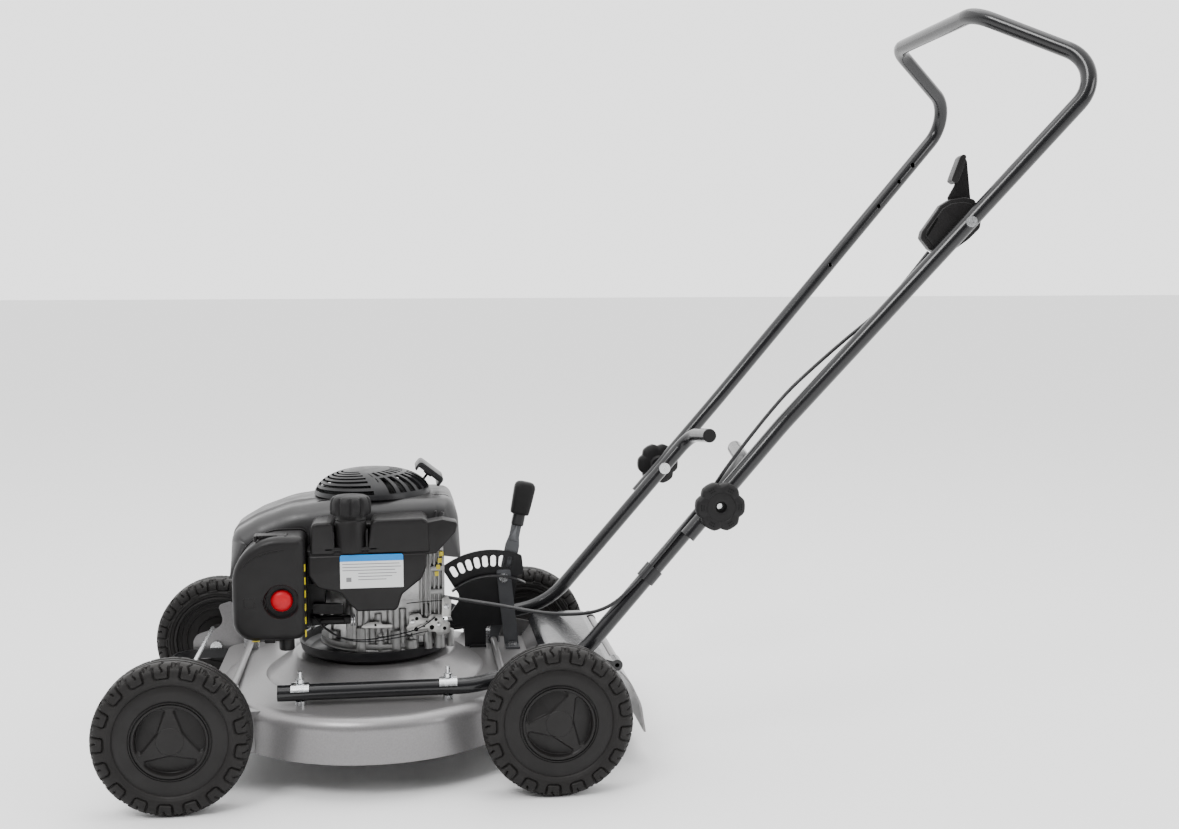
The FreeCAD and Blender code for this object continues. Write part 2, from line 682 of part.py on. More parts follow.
def splay_at(station):
    """Side and height of the upper tube's axis above the splay."""
    share = (station - SPLAY_START) / (CORNER_A[0] - SPLAY_START)
    low = rise_at(SPLAY_START)
    return (D["upper_side"] + share * (CORNER_A[1] - D["upper_side"]), low + share * (CORNER_A[2] - low))


def throttle_turn():
    """Turn of the left tube away from the fore-and-aft line, seen from above."""
    return math.atan2(CORNER_A[1] - D["upper_side"], CORNER_A[0] - SPLAY_START)


def cross_hole(station, side, height, radius):
    reach = 3 * D["tube_radius"]
    return cylinder_between((station, side - reach, height), (station, side + reach, height), radius)


def build_lower_handle(side_name):
    side = SIDES[side_name]
    y = side * D["lower_side"]
    points = [(126, y, TUBE_HEIGHT), (384, y, TUBE_HEIGHT), (RISE_START, y, RISE_HEIGHT),
              (HORN_CORNER, y, rise_at(HORN_CORNER)), (HORN[0], side * HORN[1], HORN[2])]
    outer = D["tube_radius"]
    tube = swept_tube(path_wire(points, [160, 120, 34]), outer, outer - D["tube_wall"])
    bolt = D["fold_bolt_radius"] + D["running_gap"]
    tube = tube.cut(cross_hole(D["fold_station"], y, rise_at(D["fold_station"]), bolt))
    for station, stud_side in DECK_STUDS:
        if stud_side == side:
            tube = tube.cut(cylinder_between((station, y, 110), (station, y, 150), 3.2))
    shaped("lower_handle_" + side_name, tube)


def build_upper_handle():
    side = D["upper_side"]
    half = [(UPPER_START, -side, rise_at(UPPER_START)), (SPLAY_START, -side, rise_at(SPLAY_START)),
            (CORNER_A[0], -CORNER_A[1], CORNER_A[2]), (CORNER_B[0], -CORNER_B[1], CORNER_B[2])]
    points = half + [(x, -y, z) for x, y, z in reversed(half)]
    bends = [260, CORNER_BEND, CORNER_BEND]
    tube = swept_tube(path_wire(points, bends + bends[::-1]), D["tube_radius"],
                      D["tube_radius"] - D["tube_wall"])
    for way in (LEFT, RIGHT):
        bolt = D["fold_bolt_radius"] + D["running_gap"]
        tube = tube.cut(cross_hole(D["fold_station"], way * side, rise_at(D["fold_station"]), bolt))
    for station, radius in SPARE_HOLES:
        y, z = splay_at(station)
        tube = tube.cut(cross_hole(station, y, z, radius))
    y, z = splay_at(THROTTLE_STATION)
    turn = throttle_turn()
    reach = Vector(math.sin(turn), math.cos(turn), 0) * (3 * D["tube_radius"])
    seat = Vector(THROTTLE_STATION, -y, z)
    shaped("upper_handle", tube.cut(cylinder_between(seat - reach, seat + reach, 3.1)))


def build_fold_hardware():
    """Carriage bolts through both tubes at the fold, and the hand knobs outside."""
    members = []
    height = rise_at(D["fold_station"])
    for side_name, side in SIDES.items():
        inner = side * (D["lower_side"] - D["tube_radius"] - 0.1)
        base = (D["fold_station"], inner, height)
        head = primitive("Cylinder", "fold_head", base, (0, -side, 0), Radius=9.0, Height=4.0)
        under_head = (D["fold_station"], inner - side, height)
        shank = primitive("Cylinder", "fold_shank", under_head, (0, side, 0),
                          Radius="Dims.fold_bolt_radius", Height=60.0)
        members.append(fuse("fold_bolt", [head, shank]))
        knob = new_body("knob_" + side_name)
        depth = D["knob_depth"]
        low, high = (-depth, 0.0) if side == LEFT else (0.0, depth)
        prism(knob, "XZ_Plane", low, high, circle=(0, 0, 25.5), bind="Dims.knob_depth")
        centre = D["knob_radius"] - 9.5
        lobe = prism(knob, "XZ_Plane", low, high, circle=(centre, 0, 9.5), bind="Dims.knob_depth")
        polar(knob, lobe, "Y_Axis", 6)
        prism(knob, "XZ_Plane", low, high, cut=True,
              circle=(0, 0, D["fold_bolt_radius"] + D["running_gap"]))
        outer_low = low if side == LEFT else high - 9.0
        prism(knob, "XZ_Plane", outer_low, outer_low + 9.0, cut=True, circle=(0, 0, 7.5))
        across = "%d * (Dims.upper_side + Dims.tube_radius + 0.4)" % side
        keep(knob, "knob_" + side_name, across, str(height), "Dims.fold_station")
    group("fold_bolts", members)


def build_saddles():
    """Curved saddle plates over the forward tubes, and the studs through tube and deck."""
    plates = []
    studs = []
    for station, side in DECK_STUDS:
        y = side * D["lower_side"]
        outer = primitive("Cylinder", "saddle_out", (station - 12, y, TUBE_HEIGHT), (1, 0, 0),
                          Radius=13.6, Height=24.0)
        inner = primitive("Cylinder", "saddle_in", (station - 13, y, TUBE_HEIGHT), (1, 0, 0),
                          Radius=D["tube_radius"] + CONTACT_GAP, Height=26.0)
        below = primitive("Box", "saddle_below", (station - 13, y - 20, TUBE_HEIGHT - 20),
                          Length=26.0, Width=40.0, Height=24.0)
        hole = primitive("Cylinder", "saddle_hole", (station, y, TUBE_HEIGHT), Radius=3.3, Height=30.0)
        plates.append(carve("saddle", outer, fuse("saddle_waste", [inner, below, hole])))
        stud = new_body("deck_stud")
        deck_inside = D["deck_top"] - D["deck_wall"]
        nut = TUBE_HEIGHT + 13.7
        revolve(stud, [(0, deck_inside - 4.5), (7, deck_inside - 4.5), (7, deck_inside - 0.05),
                       (3, deck_inside - 0.05), (3, nut), (5.7, nut), (5.7, nut + 5), (3, nut + 5),
                       (3, nut + 15), (0, nut + 15)], role="XZ_Plane")
        stud.Placement = Placement(Vector(station, y, 0), Rotation())
        studs.append(stud)
        floor = D["deck_top"] + CONTACT_GAP
        block = primitive("Cylinder", "collar_block", (station, y, floor), Radius=7.0,
                          Height=TUBE_HEIGHT - D["tube_radius"] - CONTACT_GAP - floor)
        bore = primitive("Cylinder", "collar_bore", (station, y, floor - 5), Radius=3.1, Height=20.0)
        collar = carve("deck_collar", block, bore)
        studs.append(collar)
    group("tube_saddles", plates)
    group("saddle_bolts", studs)


# ---------------------------------------------------------------- throttle control and cable
CABLE_FOLD = (684.0, -191.2, 350.3)
CABLE_LOWER = [(352.0, -95.0, 234.0), (377.0, -101.0, 230.0), (432.0, -119.0, 224.0),
               (486.0, -143.0, 216.5), (533.0, -170.0, 219.0), (570.0, -187.0, 229.0),
               (603.0, -189.5, 254.5), (658.0, -189.5, 317.4), CABLE_FOLD]
CABLE_LOWER_BENDS = [90, 160, 160, 120, 90, 90, 110]
CABLE_UPPER = [CABLE_FOLD, (713.0, -193.1, 387.0), (740.0, -198.0, 430.0), (812.0, -199.0, 519.0),
               (854.0, -200.0, 557.5), (902.0, -201.0, 598.5), (949.0, -205.0, 636.0),
               (990.0, -210.0, 686.0), (1012.0, -214.0, 716.0)]
CABLE_UPPER_BENDS = [110, 150, 220, 260, 260, 160, 200]


def build_cable():
    radius = D["cable_radius"]
    for name, points, bends in (("cable_lower", CABLE_LOWER, CABLE_LOWER_BENDS),
                                ("cable_upper", CABLE_UPPER, CABLE_UPPER_BENDS)):
        wire = path_wire(points, bends)
        print(name, "length", round(wire.Length, 1), "bends", bends)
        shaped(name, swept_tube(wire, radius))
    slope = unit(Vector(1, 0, D["handle_slope"]))
    axis = Vector(CLIP_STATION, -D["lower_side"], rise_at(CLIP_STATION))
    cable = Vector(*CABLE_LOWER[-3])
    start = axis - slope * (CLIP_LENGTH / 2)
    start_cable = cable + slope * (start - cable).dot(slope)
    tube = D["tube_radius"] + CONTACT_GAP
    band = Part.makeCylinder(tube + 2.4, CLIP_LENGTH, start, slope)
    band = band.fuse(Part.makeCylinder(radius + 2.1, CLIP_LENGTH, start_cable, slope))
    band = band.cut(Part.makeCylinder(tube, CLIP_LENGTH + 2, start - slope, slope))
    band = band.cut(Part.makeCylinder(radius + 0.1, CLIP_LENGTH + 2, start_cable - slope, slope))
    shaped("cable_clip", band)


def throttle_frame(obj, name):
    """Place a throttle part about its bolt, square to the splayed tube."""
    y, z = splay_at(THROTTLE_STATION)
    kept = keep(obj, name, str(-y), str(z), str(THROTTLE_STATION))
    kept.Placement.Rotation = Rotation(Vector(0, 0, 1), -math.degrees(throttle_turn()))


def build_throttle():
    inner = D["tube_radius"] + 0.3
    depth = 24.0
    housing = new_body("throttle_housing")
    outline = [(-60, -27, 8), (-41, -38, 8), (-19, -45, 12), (10, -25, 10), (26, 3, 12), (21, 28, 8),
               (-25, 34, 20), (-49, 14, 20)]
    prism(housing, "XZ_Plane", inner, inner + depth, points=outline)
    round_edges(housing, 5.0, edges_at(1, inner + depth))
    prism(housing, "XZ_Plane", inner, inner + depth, cut=True, circle=(0, 0, 3.2))
    throttle_frame(housing, "throttle_housing")
    lever = new_body("throttle_lever")
    low = inner + depth + 0.4
    prism(lever, "XZ_Plane", low, low + 7, circle=(0, 0, 13.0))
    prism(lever, "XZ_Plane", low, low + 7,
          points=[(-12, 2), (12, 2), (17, 30, 20), (10, 84, 8), (2, 97, 5), (-10, 92, 5), (-19, 56, 14)])
    prism(lever, "XZ_Plane", low, low + 7, cut=True, circle=(0, 0, 3.06))
    throttle_frame(lever, "throttle_lever")
    bolt = new_body("throttle_bolt")
    prism(bolt, "XZ_Plane", -D["tube_radius"] - 3.6, -D["tube_radius"] - 0.1, circle=(0, 0, 7.5))
    prism(bolt, "XZ_Plane", -D["tube_radius"] - 1, low + 7.4, circle=(0, 0, 3.0))
    prism(bolt, "XZ_Plane", low + 7.4, low + 11, circle=(0, 0, 6.0))
    throttle_frame(bolt, "throttle_bolt")


# ---------------------------------------------------------------- engine
CYLINDER_HEIGHT = 222.0
BORE_RADIUS = 30.0
CASE_FRONT = -40.0
CASE_NEAR = -82.0
COWL_NEAR, COWL_FAR = -90.0, 82.0
COWL_PROFILE = [(54, 268), (200, 268), (214, 300), (350, 300), (360, 284), (386, 284), (374, 345, 30),
                (348, 370, 20), (200, 372, 60), (120, 354, 90), (54, 316, 34)]
TANK_BACK = -93.0
NECK = (226.0, -138.0)
PRIMER = (133.0, 250.0)
PULL_TILT = 38.0
GRIP_SEAT = (331.5, 6.0, 393.2)


def build_mount_ring():
    body = new_body("engine_mount_ring")
    floor = D["deck_crown"] + 0.05
    revolve(body, [(34, floor), (96, floor), (107, floor + 7), (110, 160), (106, 160), (103, floor + 9),
                   (94, floor + 4.5), (34, floor + 4.5)], role="XZ_Plane")
    keep(body, "engine_mount_ring", station="Dims.engine_station")


def build_crankcase():
    body = new_body("crankcase")
    foot = D["deck_crown"] + 4.6
    prism(body, "XY_Plane", foot, 161, circle=(0, 0, 60.0))
    prism(body, "XY_Plane", 160.6, 167, circle=(14, 0, 92.0))
    prism(body, "XY_Plane", 167, 228,
          points=[(CASE_FRONT, CASE_NEAR, 18), (92, CASE_NEAR, 24), (92, 72, 24), (CASE_FRONT, 72, 18)])
    prism(body, "XY_Plane", 228, 290, circle=(0, 0, 26.0))
    for i in range(7):
        prism(body, "XY_Plane", 167, 222 - 6 * (i % 3), circle=(CASE_FRONT + 12 + 17 * i, CASE_NEAR, 5.5))
    for angle in (-150, -110, -70, -30, 30, 70):
        turn = math.radians(angle)
        prism(body, "XY_Plane", 167, 178, circle=(14 + 82 * math.cos(turn), 82 * math.sin(turn), 8.5))
    bore = D["crankshaft_radius"] + D["running_gap"]
    prism(body, "XY_Plane", foot, 290, cut=True, circle=(0, 0, bore))
    keep(body, "crankcase", station="Dims.engine_station")


def build_cylinder():
    """Finned barrel and head, lying forwards from the crankcase, with its bore open behind."""
    body = new_body("cylinder")
    back = CASE_FRONT - 0.1
    head = back - 98
    fin = [(-46, CYLINDER_HEIGHT - 44, 10), (46, CYLINDER_HEIGHT - 44, 10),
           (46, CYLINDER_HEIGHT + 43, 10), (-46, CYLINDER_HEIGHT + 43, 10)]
    prism(body, "YZ_Plane", head, back, circle=(0, CYLINDER_HEIGHT, 35.0))
    for i in range(6):
        low = head + 6 + 14 * i
        prism(body, "YZ_Plane", low, low + 3, points=fin)
    prism(body, "YZ_Plane", head - 24, head, points=fin)
    prism(body, "YZ_Plane", back - 96, back, cut=True, circle=(0, CYLINDER_HEIGHT, BORE_RADIUS))
    keep(body, "cylinder", station="Dims.engine_station")
    plug = new_body("spark_plug")
    seat = head - 24.1
    revolve(plug, [(head - 54, 0), (head - 54, 8, 2), (seat - 12, 9), (seat - 12, 6), (seat, 6), (seat, 0)],
            axis="H_Axis")
    keep(plug, "spark_plug", height=str(CYLINDER_HEIGHT), station="Dims.engine_station")
    piston = new_body("piston")
    prism(piston, "YZ_Plane", -104, -68, circle=(0, 0, BORE_RADIUS - 0.05))
    prism(piston, "YZ_Plane", -98, -68, cut=True, circle=(0, 0, 25.0))
    keep(piston, "piston", height=str(CYLINDER_HEIGHT), station="Dims.engine_station")


def build_muffler():
    body = new_body("muffler")
    prism(body, "XZ_Plane", 50, 80,
          points=[(98, 186, 12), (204, 186, 12), (204, 246, 12), (98, 246, 12)])
    round_edges(body, 6.0, edges_at(1, 80))
    prism(body, "XZ_Plane", 46.1, 50,
          points=[(130, 204, 6), (170, 204, 6), (170, 236, 6), (130, 236, 6)])
    prism(body, "XZ_Plane", 80, 86, circle=(182, 204, 9.0))
    prism(body, "XZ_Plane", 70, 86, cut=True, circle=(182, 204, 6.5))
    keep(body, "muffler")


FILTER_OUTLINE = [(68, 197, 26), (165, 197, 14), (165, 338, 10), (68, 338, 62)]


def build_air_filter():
    face = -D["filter_face"]
    back = -104.0
    wall = D["shroud_wall"]
    cover = new_body("air_filter_cover")
    prism(cover, "XZ_Plane", face, back, points=FILTER_OUTLINE)
    round_edges(cover, 9.0, edges_at(1, face))
    sketch = add_sketch(cover, "XZ_Plane", -(face + wall))
    draw_outline(sketch, inset(FILTER_OUTLINE, wall))
    add_feature(cover, "Pocket", sketch, back - face - wall)
    prism(cover, "XZ_Plane", face + 2, face + 20, circle=(*PRIMER, 23.5))
    prism(cover, "XZ_Plane", face, face + 14, cut=True, circle=(*PRIMER, 20.5))
    prism(cover, "XZ_Plane", face, face + 20, cut=True, circle=(*PRIMER, D["primer_radius"] + 0.4))
    keep(cover, "air_filter_cover")
    element = new_body("air_filter_element")
    prism(element, "XZ_Plane", -143.0, back - 0.3, points=inset(FILTER_OUTLINE, 7.0))
    keep(element, "air_filter_element")
    bulb = new_body("primer_bulb")
    radius = D["primer_radius"]
    revolve(bulb, [(0, 3), (radius * 0.6, 3.5, 8), (radius, 9, 6), (radius, 17), (0, 17)])
    keep(bulb, "primer_bulb", "-Dims.filter_face", str(PRIMER[1]), str(PRIMER[0]))
    base = new_body("intake_base")
    prism(base, "XZ_Plane", back + 0.1, back + 6, points=FILTER_OUTLINE)
    prism(base, "XZ_Plane", back + 5, -46.2, circle=(150, 238, 14.0))
    prism(base, "XZ_Plane", -86, -52, points=[(132, 220, 5), (186, 220, 5), (186, 256, 5), (132, 256, 5)])
    prism(base, "XY_Plane", 196, 221, circle=(160, -69, 17.0))
    prism(base, "XZ_Plane", -97, -85, points=[(170, 216, 3), (212, 214, 3), (212, 228, 3), (170, 230, 3)])
    keep(base, "intake_base")


def tank_form(name, gap):
    """Solid form of the fuel tank, smaller by gap all over."""
    body = new_body(name)
    face = -D["tank_face"]
    low = [(233, 230, 8), (287, 230, 8), (295, 254, 8), (322, 274, 14), (328, 290, 8), (328, 312),
           (168, 312), (168, 282, 8), (180, 264, 12), (210, 256, 10), (221, 240, 6)]
    prism(body, "XZ_Plane", face + gap, TANK_BACK - gap, points=inset(low, gap) if gap else low)
    round_edges(body, 6.0 - gap, edges_at(1, face + gap))
    high = [(170, 300), (334, 300), (332, 357, 14), (172, 357, 12)]
    prism(body, "XZ_Plane", face + gap, TANK_BACK - gap, points=inset(high, gap) if gap else high)
    prism(body, "XY_Plane", 318 + gap, 362 if not gap else 350, circle=(*NECK, 21.0 - gap))
    return body


def build_tank():
    outer = tank_form("tank_outside", 0.0)
    prism(outer, "XY_Plane", 306, 316,
          points=[(166, -152, 8), (340, -152, 8), (348, TANK_BACK), (166, TANK_BACK)])
    inner = tank_form("tank_inside", 2.5)
    bore = primitive("Cylinder", "filler_bore", (*NECK, 340), Radius=17.0, Height=40.0)
    keep(carve("tank_hollowed", outer, fuse("tank_space", [inner, bore])), "fuel_tank")
    cap = new_body("fuel_cap")
    radius = D["cap_radius"]
    revolve(cap, [(0, 356), (16.4, 356), (16.4, 362.4), (radius - 1.5, 362.4), (radius, 382, 3),
                  (radius - 4, 388, 4), (0, 389)], role="XZ_Plane")
    keep(cap, "fuel_cap", str(NECK[1]), station=str(NECK[0]))


def cowl_form(name, gap, drop):
    body = new_body(name)
    outline = inset(COWL_PROFILE, gap) if gap else COWL_PROFILE
    if drop:
        outline = [(x, z - drop if z < 305 else z, *rest) for x, z, *rest in outline]
    prism(body, "XZ_Plane", COWL_NEAR + gap, COWL_FAR - gap, points=outline)

    def crest(edge):
        box = edge.BoundBox
        on_side = edges_at(1, COWL_NEAR + gap)(edge) or edges_at(1, COWL_FAR - gap)(edge)
        return on_side and box.ZMin > 300 + gap
    round_edges(body, 24.0 - gap, crest)
    return body


def build_cowl():
    wall = D["shroud_wall"]
    outer = cowl_form("cowl_outside", 0.0, 0.0)
    inner = cowl_form("cowl_inside", wall, 12.0)
    intake = primitive("Cylinder", "fan_intake", (ENGINE, 0, 340), Radius=66.0, Height=50.0)
    keep(carve("cowl_hollowed", outer, fuse("cowl_space", [inner, intake])), "cowl")
    dome = new_body("recoil_housing")
    radius, base, top = D["dome_radius"], D["dome_base"] + 0.3, D["dome_top"]
    revolve(dome, [(0, 334), (7.4, 334), (7.4, top - 5), (48, top - 5, 57), (radius - 9, top - 17, 24),
                   (radius - 3.2, base), (radius, base), (radius - 6, top - 14, 26), (50, top - 1, 60),
                   (0, top)], role="XZ_Plane")
    sketch = add_sketch(dome, "XY_Plane", top + 1)
    draw_outline(sketch, [(36, -3, 2.5), (62, -3, 2.5), (62, 3, 2.5), (36, 3, 2.5)])
    slot = add_feature(dome, "Pocket", sketch, 24)
    polar(dome, slot, "Z_Axis", 16)
    turn = math.radians(PULL_TILT)
    way = Vector(math.sin(turn), 0, math.cos(turn))
    outlet = Vector(GRIP_SEAT[0] - ENGINE, GRIP_SEAT[1], GRIP_SEAT[2]) - way * 16
    eye = primitive("Cylinder", "rope_outlet", outlet, way, Radius=2.3, Height=30.0)
    keep(carve("recoil_cover", dome, eye), "recoil_housing", station="Dims.engine_station")


def build_rotor():
    """Crankshaft, flywheel and blade: everything that turns with the engine."""
    radius = D["crankshaft_radius"]
    seat = D["blade_height"] + D["blade_thickness"] + 0.1
    shaft = new_body("crankshaft")
    revolve(shaft, [(5.05, seat), (28, seat), (28, seat + 7), (radius, seat + 7), (radius, 296), (9, 300),
                    (9, 330), (0, 330), (0, seat + 20), (5.05, seat + 20)], role="XZ_Plane")
    keep(shaft, "crankshaft", station="Dims.engine_station")
    wheel = new_body("flywheel")
    outer = D["flywheel_radius"]
    revolve(wheel, [(9.05, 300.1), (20, 300.1), (20, 306), (outer - 14, 306), (outer, 300), (outer, 318),
                    (20, 314), (20, 324), (9.05, 324)], role="XZ_Plane")
    vane = prism(wheel, "XY_Plane", 312, 328, points=[(34, -1.2), (70, -1.2), (70, 1.2), (34, 1.2)])
    polar(wheel, vane, "Z_Axis", 14)
    keep(wheel, "flywheel", station="Dims.engine_station")
    blade = new_body("blade")
    half, width = D["blade_length"] / 2, D["blade_width"] / 2
    low, high = D["blade_height"], D["blade_height"] + D["blade_thickness"]
    prism(blade, "XY_Plane", low, high, bind="Dims.blade_thickness",
          points=[(-half, -width + 6), (-half + 60, -width), (half, -width), (half, width - 6),
                  (half - 60, width), (-half, width)])
    prism(blade, "XY_Plane", low, high, cut=True, circle=(0, 0, 5.1))
    for end in (-1, 1):
        sail = [(half - 52, width - 10), (half - 8, width - 10), (half - 8, width - 2),
                (half - 52, width - 2)]
        prism(blade, "XY_Plane", low, high + 7, points=[(end * x, -end * y) for x, y in sail])
    keep(blade, "blade", station="Dims.engine_station")
    bolt = new_body("blade_bolt")
    under_head = low - CONTACT_GAP
    revolve(bolt, [(0, low - 7), (9, low - 7), (9, under_head), (5, under_head), (5, seat + 16),
                   (0, seat + 16)], role="XZ_Plane")
    keep(bolt, "blade_bolt", station="Dims.engine_station")


def build_recoil():
    """Rope pulley under the dome, and the pull grip with its short visible rope."""
    pulley = new_body("recoil_pulley")
    revolve(pulley, [(7.46, 340), (38, 340), (38, 342), (33, 344), (33, 350), (38, 352), (38, 354),
                     (7.46, 354)], role="XZ_Plane")
    keep(pulley, "recoil_pulley", station="Dims.engine_station")
    grip = new_body("starter_grip")
    prism(grip, "XZ_Plane", -26, 26, points=[(-20, 0, 4), (20, 0, 4), (20, 15, 5), (-20, 15, 5)])
    round_edges(grip, 3.5, lambda edge: edges_at(1, -26)(edge) or edges_at(1, 26)(edge))
    rope = new_body("starter_rope")
    prism(rope, "XY_Plane", -9, -CONTACT_GAP, circle=(0, 0, 1.9))
    station, side, height = (str(place) for place in GRIP_SEAT)
    for piece, name in ((grip, "starter_grip"), (rope, "starter_rope")):
        tilted(keep(piece, name, side, height, station), PULL_TILT)


def build_governor():
    """Thin plate on two spacers on the crankcase, with the clamp of the throttle cable."""
    body = new_body("governor_plate")
    prism(body, "XZ_Plane", -92, -90,
          points=[(293, 205, 4), (352, 203, 4), (354, 230, 4), (336, 230, 3), (330, 243, 5),
                  (300, 243, 6), (296, 228, 4), (304, 222, 3)])
    prism(body, "XZ_Plane", -99, -90, points=[(340, 228, 2), (351, 228, 2), (351, 240, 2), (340, 240, 2)])
    for x, z in ((302.5, 212), (336.5, 214)):
        prism(body, "XZ_Plane", -90, CASE_NEAR - 0.1, circle=(x, z, 2.8))
    keep(body, "governor_plate")


def build_all():
    build_deck()
    build_front_bumper()
    build_chute_cover()
    build_flap()
    for end in ("front", "rear"):
        for side_name in SIDES:
            build_wheel(end, side_name)
    build_axles()
    build_link_rod()
    build_rod_brackets()
    build_quadrant()
    build_strap()
    build_lever()
    build_frame_fasteners()
    for side_name in SIDES:
        build_lower_handle(side_name)
    build_upper_handle()
    build_fold_hardware()
    build_saddles()
    build_cable()
    build_throttle()
    build_mount_ring()
    build_crankcase()
    build_cylinder()
    build_muffler()
    build_air_filter()
    build_tank()
    build_cowl()
    build_rotor()
    build_recoil()
    build_governor()


def write_parts():
    """Check every object and sub-part, then write one STEP file for each."""
    doc.recompute()
    for obj in doc.Objects:
        if "Invalid" in obj.State or "Error" in obj.State:
            raise RuntimeError("failed object " + obj.Label)
    if len(nodes) > NODE_LIMIT:
        raise RuntimeError("too many sub-parts")
    os.makedirs("parts", exist_ok=True)
    low = Vector(1e9, 1e9, 1e9)
    high = Vector(-1e9, -1e9, -1e9)
    for name, obj in nodes.items():
        shape = obj.Shape
        if shape.isNull() or not shape.isValid() or not shape.Solids:
            raise RuntimeError("bad shape in " + name)
        shape.exportStep("parts/%s.step" % name)
        box = shape.optimalBoundingBox(True, False)
        low = Vector(min(low.x, box.XMin), min(low.y, box.YMin), min(low.z, box.ZMin))
        high = Vector(max(high.x, box.XMax), max(high.y, box.YMax), max(high.z, box.ZMax))
    print(len(nodes), "sub-parts from", low, "to", high)


build_all()
write_parts()
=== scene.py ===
"""Looks of the push lawn mower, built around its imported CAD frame.

Lengths in the builders are millimetres: x is the station behind the front wheels' axle, y the
side (negative is the left), z the height above the ground.  place() turns them into metres.
"""
import json
from math import atan2, cos, hypot, pi, radians, sin, tan

import bmesh
import bpy
import numpy as np
from mathutils import Matrix, Vector


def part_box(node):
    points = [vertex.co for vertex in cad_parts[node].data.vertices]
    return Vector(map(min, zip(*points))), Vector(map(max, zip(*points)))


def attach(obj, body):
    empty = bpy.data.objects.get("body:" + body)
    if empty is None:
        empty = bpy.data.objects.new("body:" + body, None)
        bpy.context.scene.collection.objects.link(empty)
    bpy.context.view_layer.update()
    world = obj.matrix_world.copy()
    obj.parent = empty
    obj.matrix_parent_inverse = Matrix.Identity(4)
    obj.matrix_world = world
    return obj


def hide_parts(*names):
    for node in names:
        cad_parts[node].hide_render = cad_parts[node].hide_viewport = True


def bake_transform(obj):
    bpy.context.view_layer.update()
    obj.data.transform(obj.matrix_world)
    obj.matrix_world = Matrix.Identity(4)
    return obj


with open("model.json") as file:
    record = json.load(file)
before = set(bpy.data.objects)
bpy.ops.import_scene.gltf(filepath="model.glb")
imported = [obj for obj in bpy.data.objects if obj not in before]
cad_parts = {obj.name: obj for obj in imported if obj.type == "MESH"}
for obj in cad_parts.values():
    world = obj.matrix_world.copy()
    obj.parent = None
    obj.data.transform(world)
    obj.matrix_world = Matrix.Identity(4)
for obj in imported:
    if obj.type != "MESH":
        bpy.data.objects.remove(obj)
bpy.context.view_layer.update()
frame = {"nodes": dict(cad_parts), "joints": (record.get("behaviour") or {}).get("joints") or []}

MM = 0.001
SIDES = {"left": -1, "right": 1}
JOINTS = {joint["name"]: joint for joint in frame["joints"]}


def middle(node):
    low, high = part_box(node)
    return (low + high) / 2


STATION_ZERO = middle("front_axle_bolts").x


def place(x, y, z):
    """Station, side and height in millimetres to a point of the frame in metres."""
    return (STATION_ZERO + x * MM, y * MM, z * MM)


def to_mm(point):
    """Point of the frame in metres to station, side and height in millimetres."""
    return (point[0] - STATION_ZERO) / MM, point[1] / MM, point[2] / MM


def new_object(name, data):
    obj = bpy.data.objects.new(name, data)
    bpy.context.collection.objects.link(obj)
    return obj


def angles(count):
    """Evenly spaced angles of a full turn."""
    return [2 * pi * i / count for i in range(count)]


# --- camera, light, floor
FLOOR_REACH = 60


def build_stage():
    camera_data = bpy.data.cameras.new("camera")
    camera = new_object("camera", camera_data)
    camera.location = (-0.2711, -2.055, 0.676)
    camera.rotation_euler = (radians(90) - 0.094, 0.003, -0.1373)
    camera_data.lens = 42.78
    camera_data.sensor_width = 36
    bpy.context.scene.camera = camera

    floor_mesh = bpy.data.meshes.new("floor")
    corners = ((-1, -1), (1, -1), (1, 1), (-1, 1))
    floor_mesh.from_pydata([(x * FLOOR_REACH, y * FLOOR_REACH, 0) for x, y in corners], [],
        [(0, 1, 2, 3)])
    floor = new_object("floor", floor_mesh)
    paper = bpy.data.materials.new("floor_paper")
    paper.use_nodes = True
    shader = paper.node_tree.nodes["Principled BSDF"]
    shader.inputs["Base Color"].default_value = (0.86, 0.86, 0.86, 1)
    shader.inputs["Roughness"].default_value = 0.9
    floor_mesh.materials.append(paper)

    world = bpy.data.worlds.new("studio")
    world.use_nodes = True
    tree = world.node_tree
    sky = tree.nodes["Background"]
    sky.inputs["Color"].default_value = (1, 1, 1, 1)
    way = tree.nodes.new("ShaderNodeTexCoord")
    split = tree.nodes.new("ShaderNodeSeparateXYZ")
    fade = tree.nodes.new("ShaderNodeMapRange")
    for key, value in (("From Min", -0.35), ("From Max", 0.55), ("To Min", 0.20), ("To Max", 2.3)):
        fade.inputs[key].default_value = value
    total = tree.nodes.new("ShaderNodeMath")
    total.operation = "ADD"
    for source, output, target, slot in (
            (way, "Generated", split, "Vector"),
            (split, "Y", total, 0),
            (split, "Z", total, 1),
            (total, "Value", fade, "Value"),
            (fade, "Result", sky, "Strength")):
        tree.links.new(source.outputs[output], target.inputs[slot])
    bpy.context.scene.world = world
    for name, spot, aim, size, power in (
            ("key_light", (-1.6, -2.2, 3), (0, 0, 0.3), 1.2, 80),
            ("fill_light", (2.6, -2, 1.6), (0.1, 0, 0.4), 1.2, 30),
            ("top_light", (0.2, 0.3, 3.4), (0, 0, 0.2), 2.4, 45)):
        lamp_data = bpy.data.lights.new(name, "AREA")
        lamp_data.size = size
        lamp_data.energy = power
        lamp = new_object(name, lamp_data)
        lamp.location = spot
        lamp.rotation_euler = (Vector(aim) - Vector(spot)).to_track_quat("-Z", "Y").to_euler()


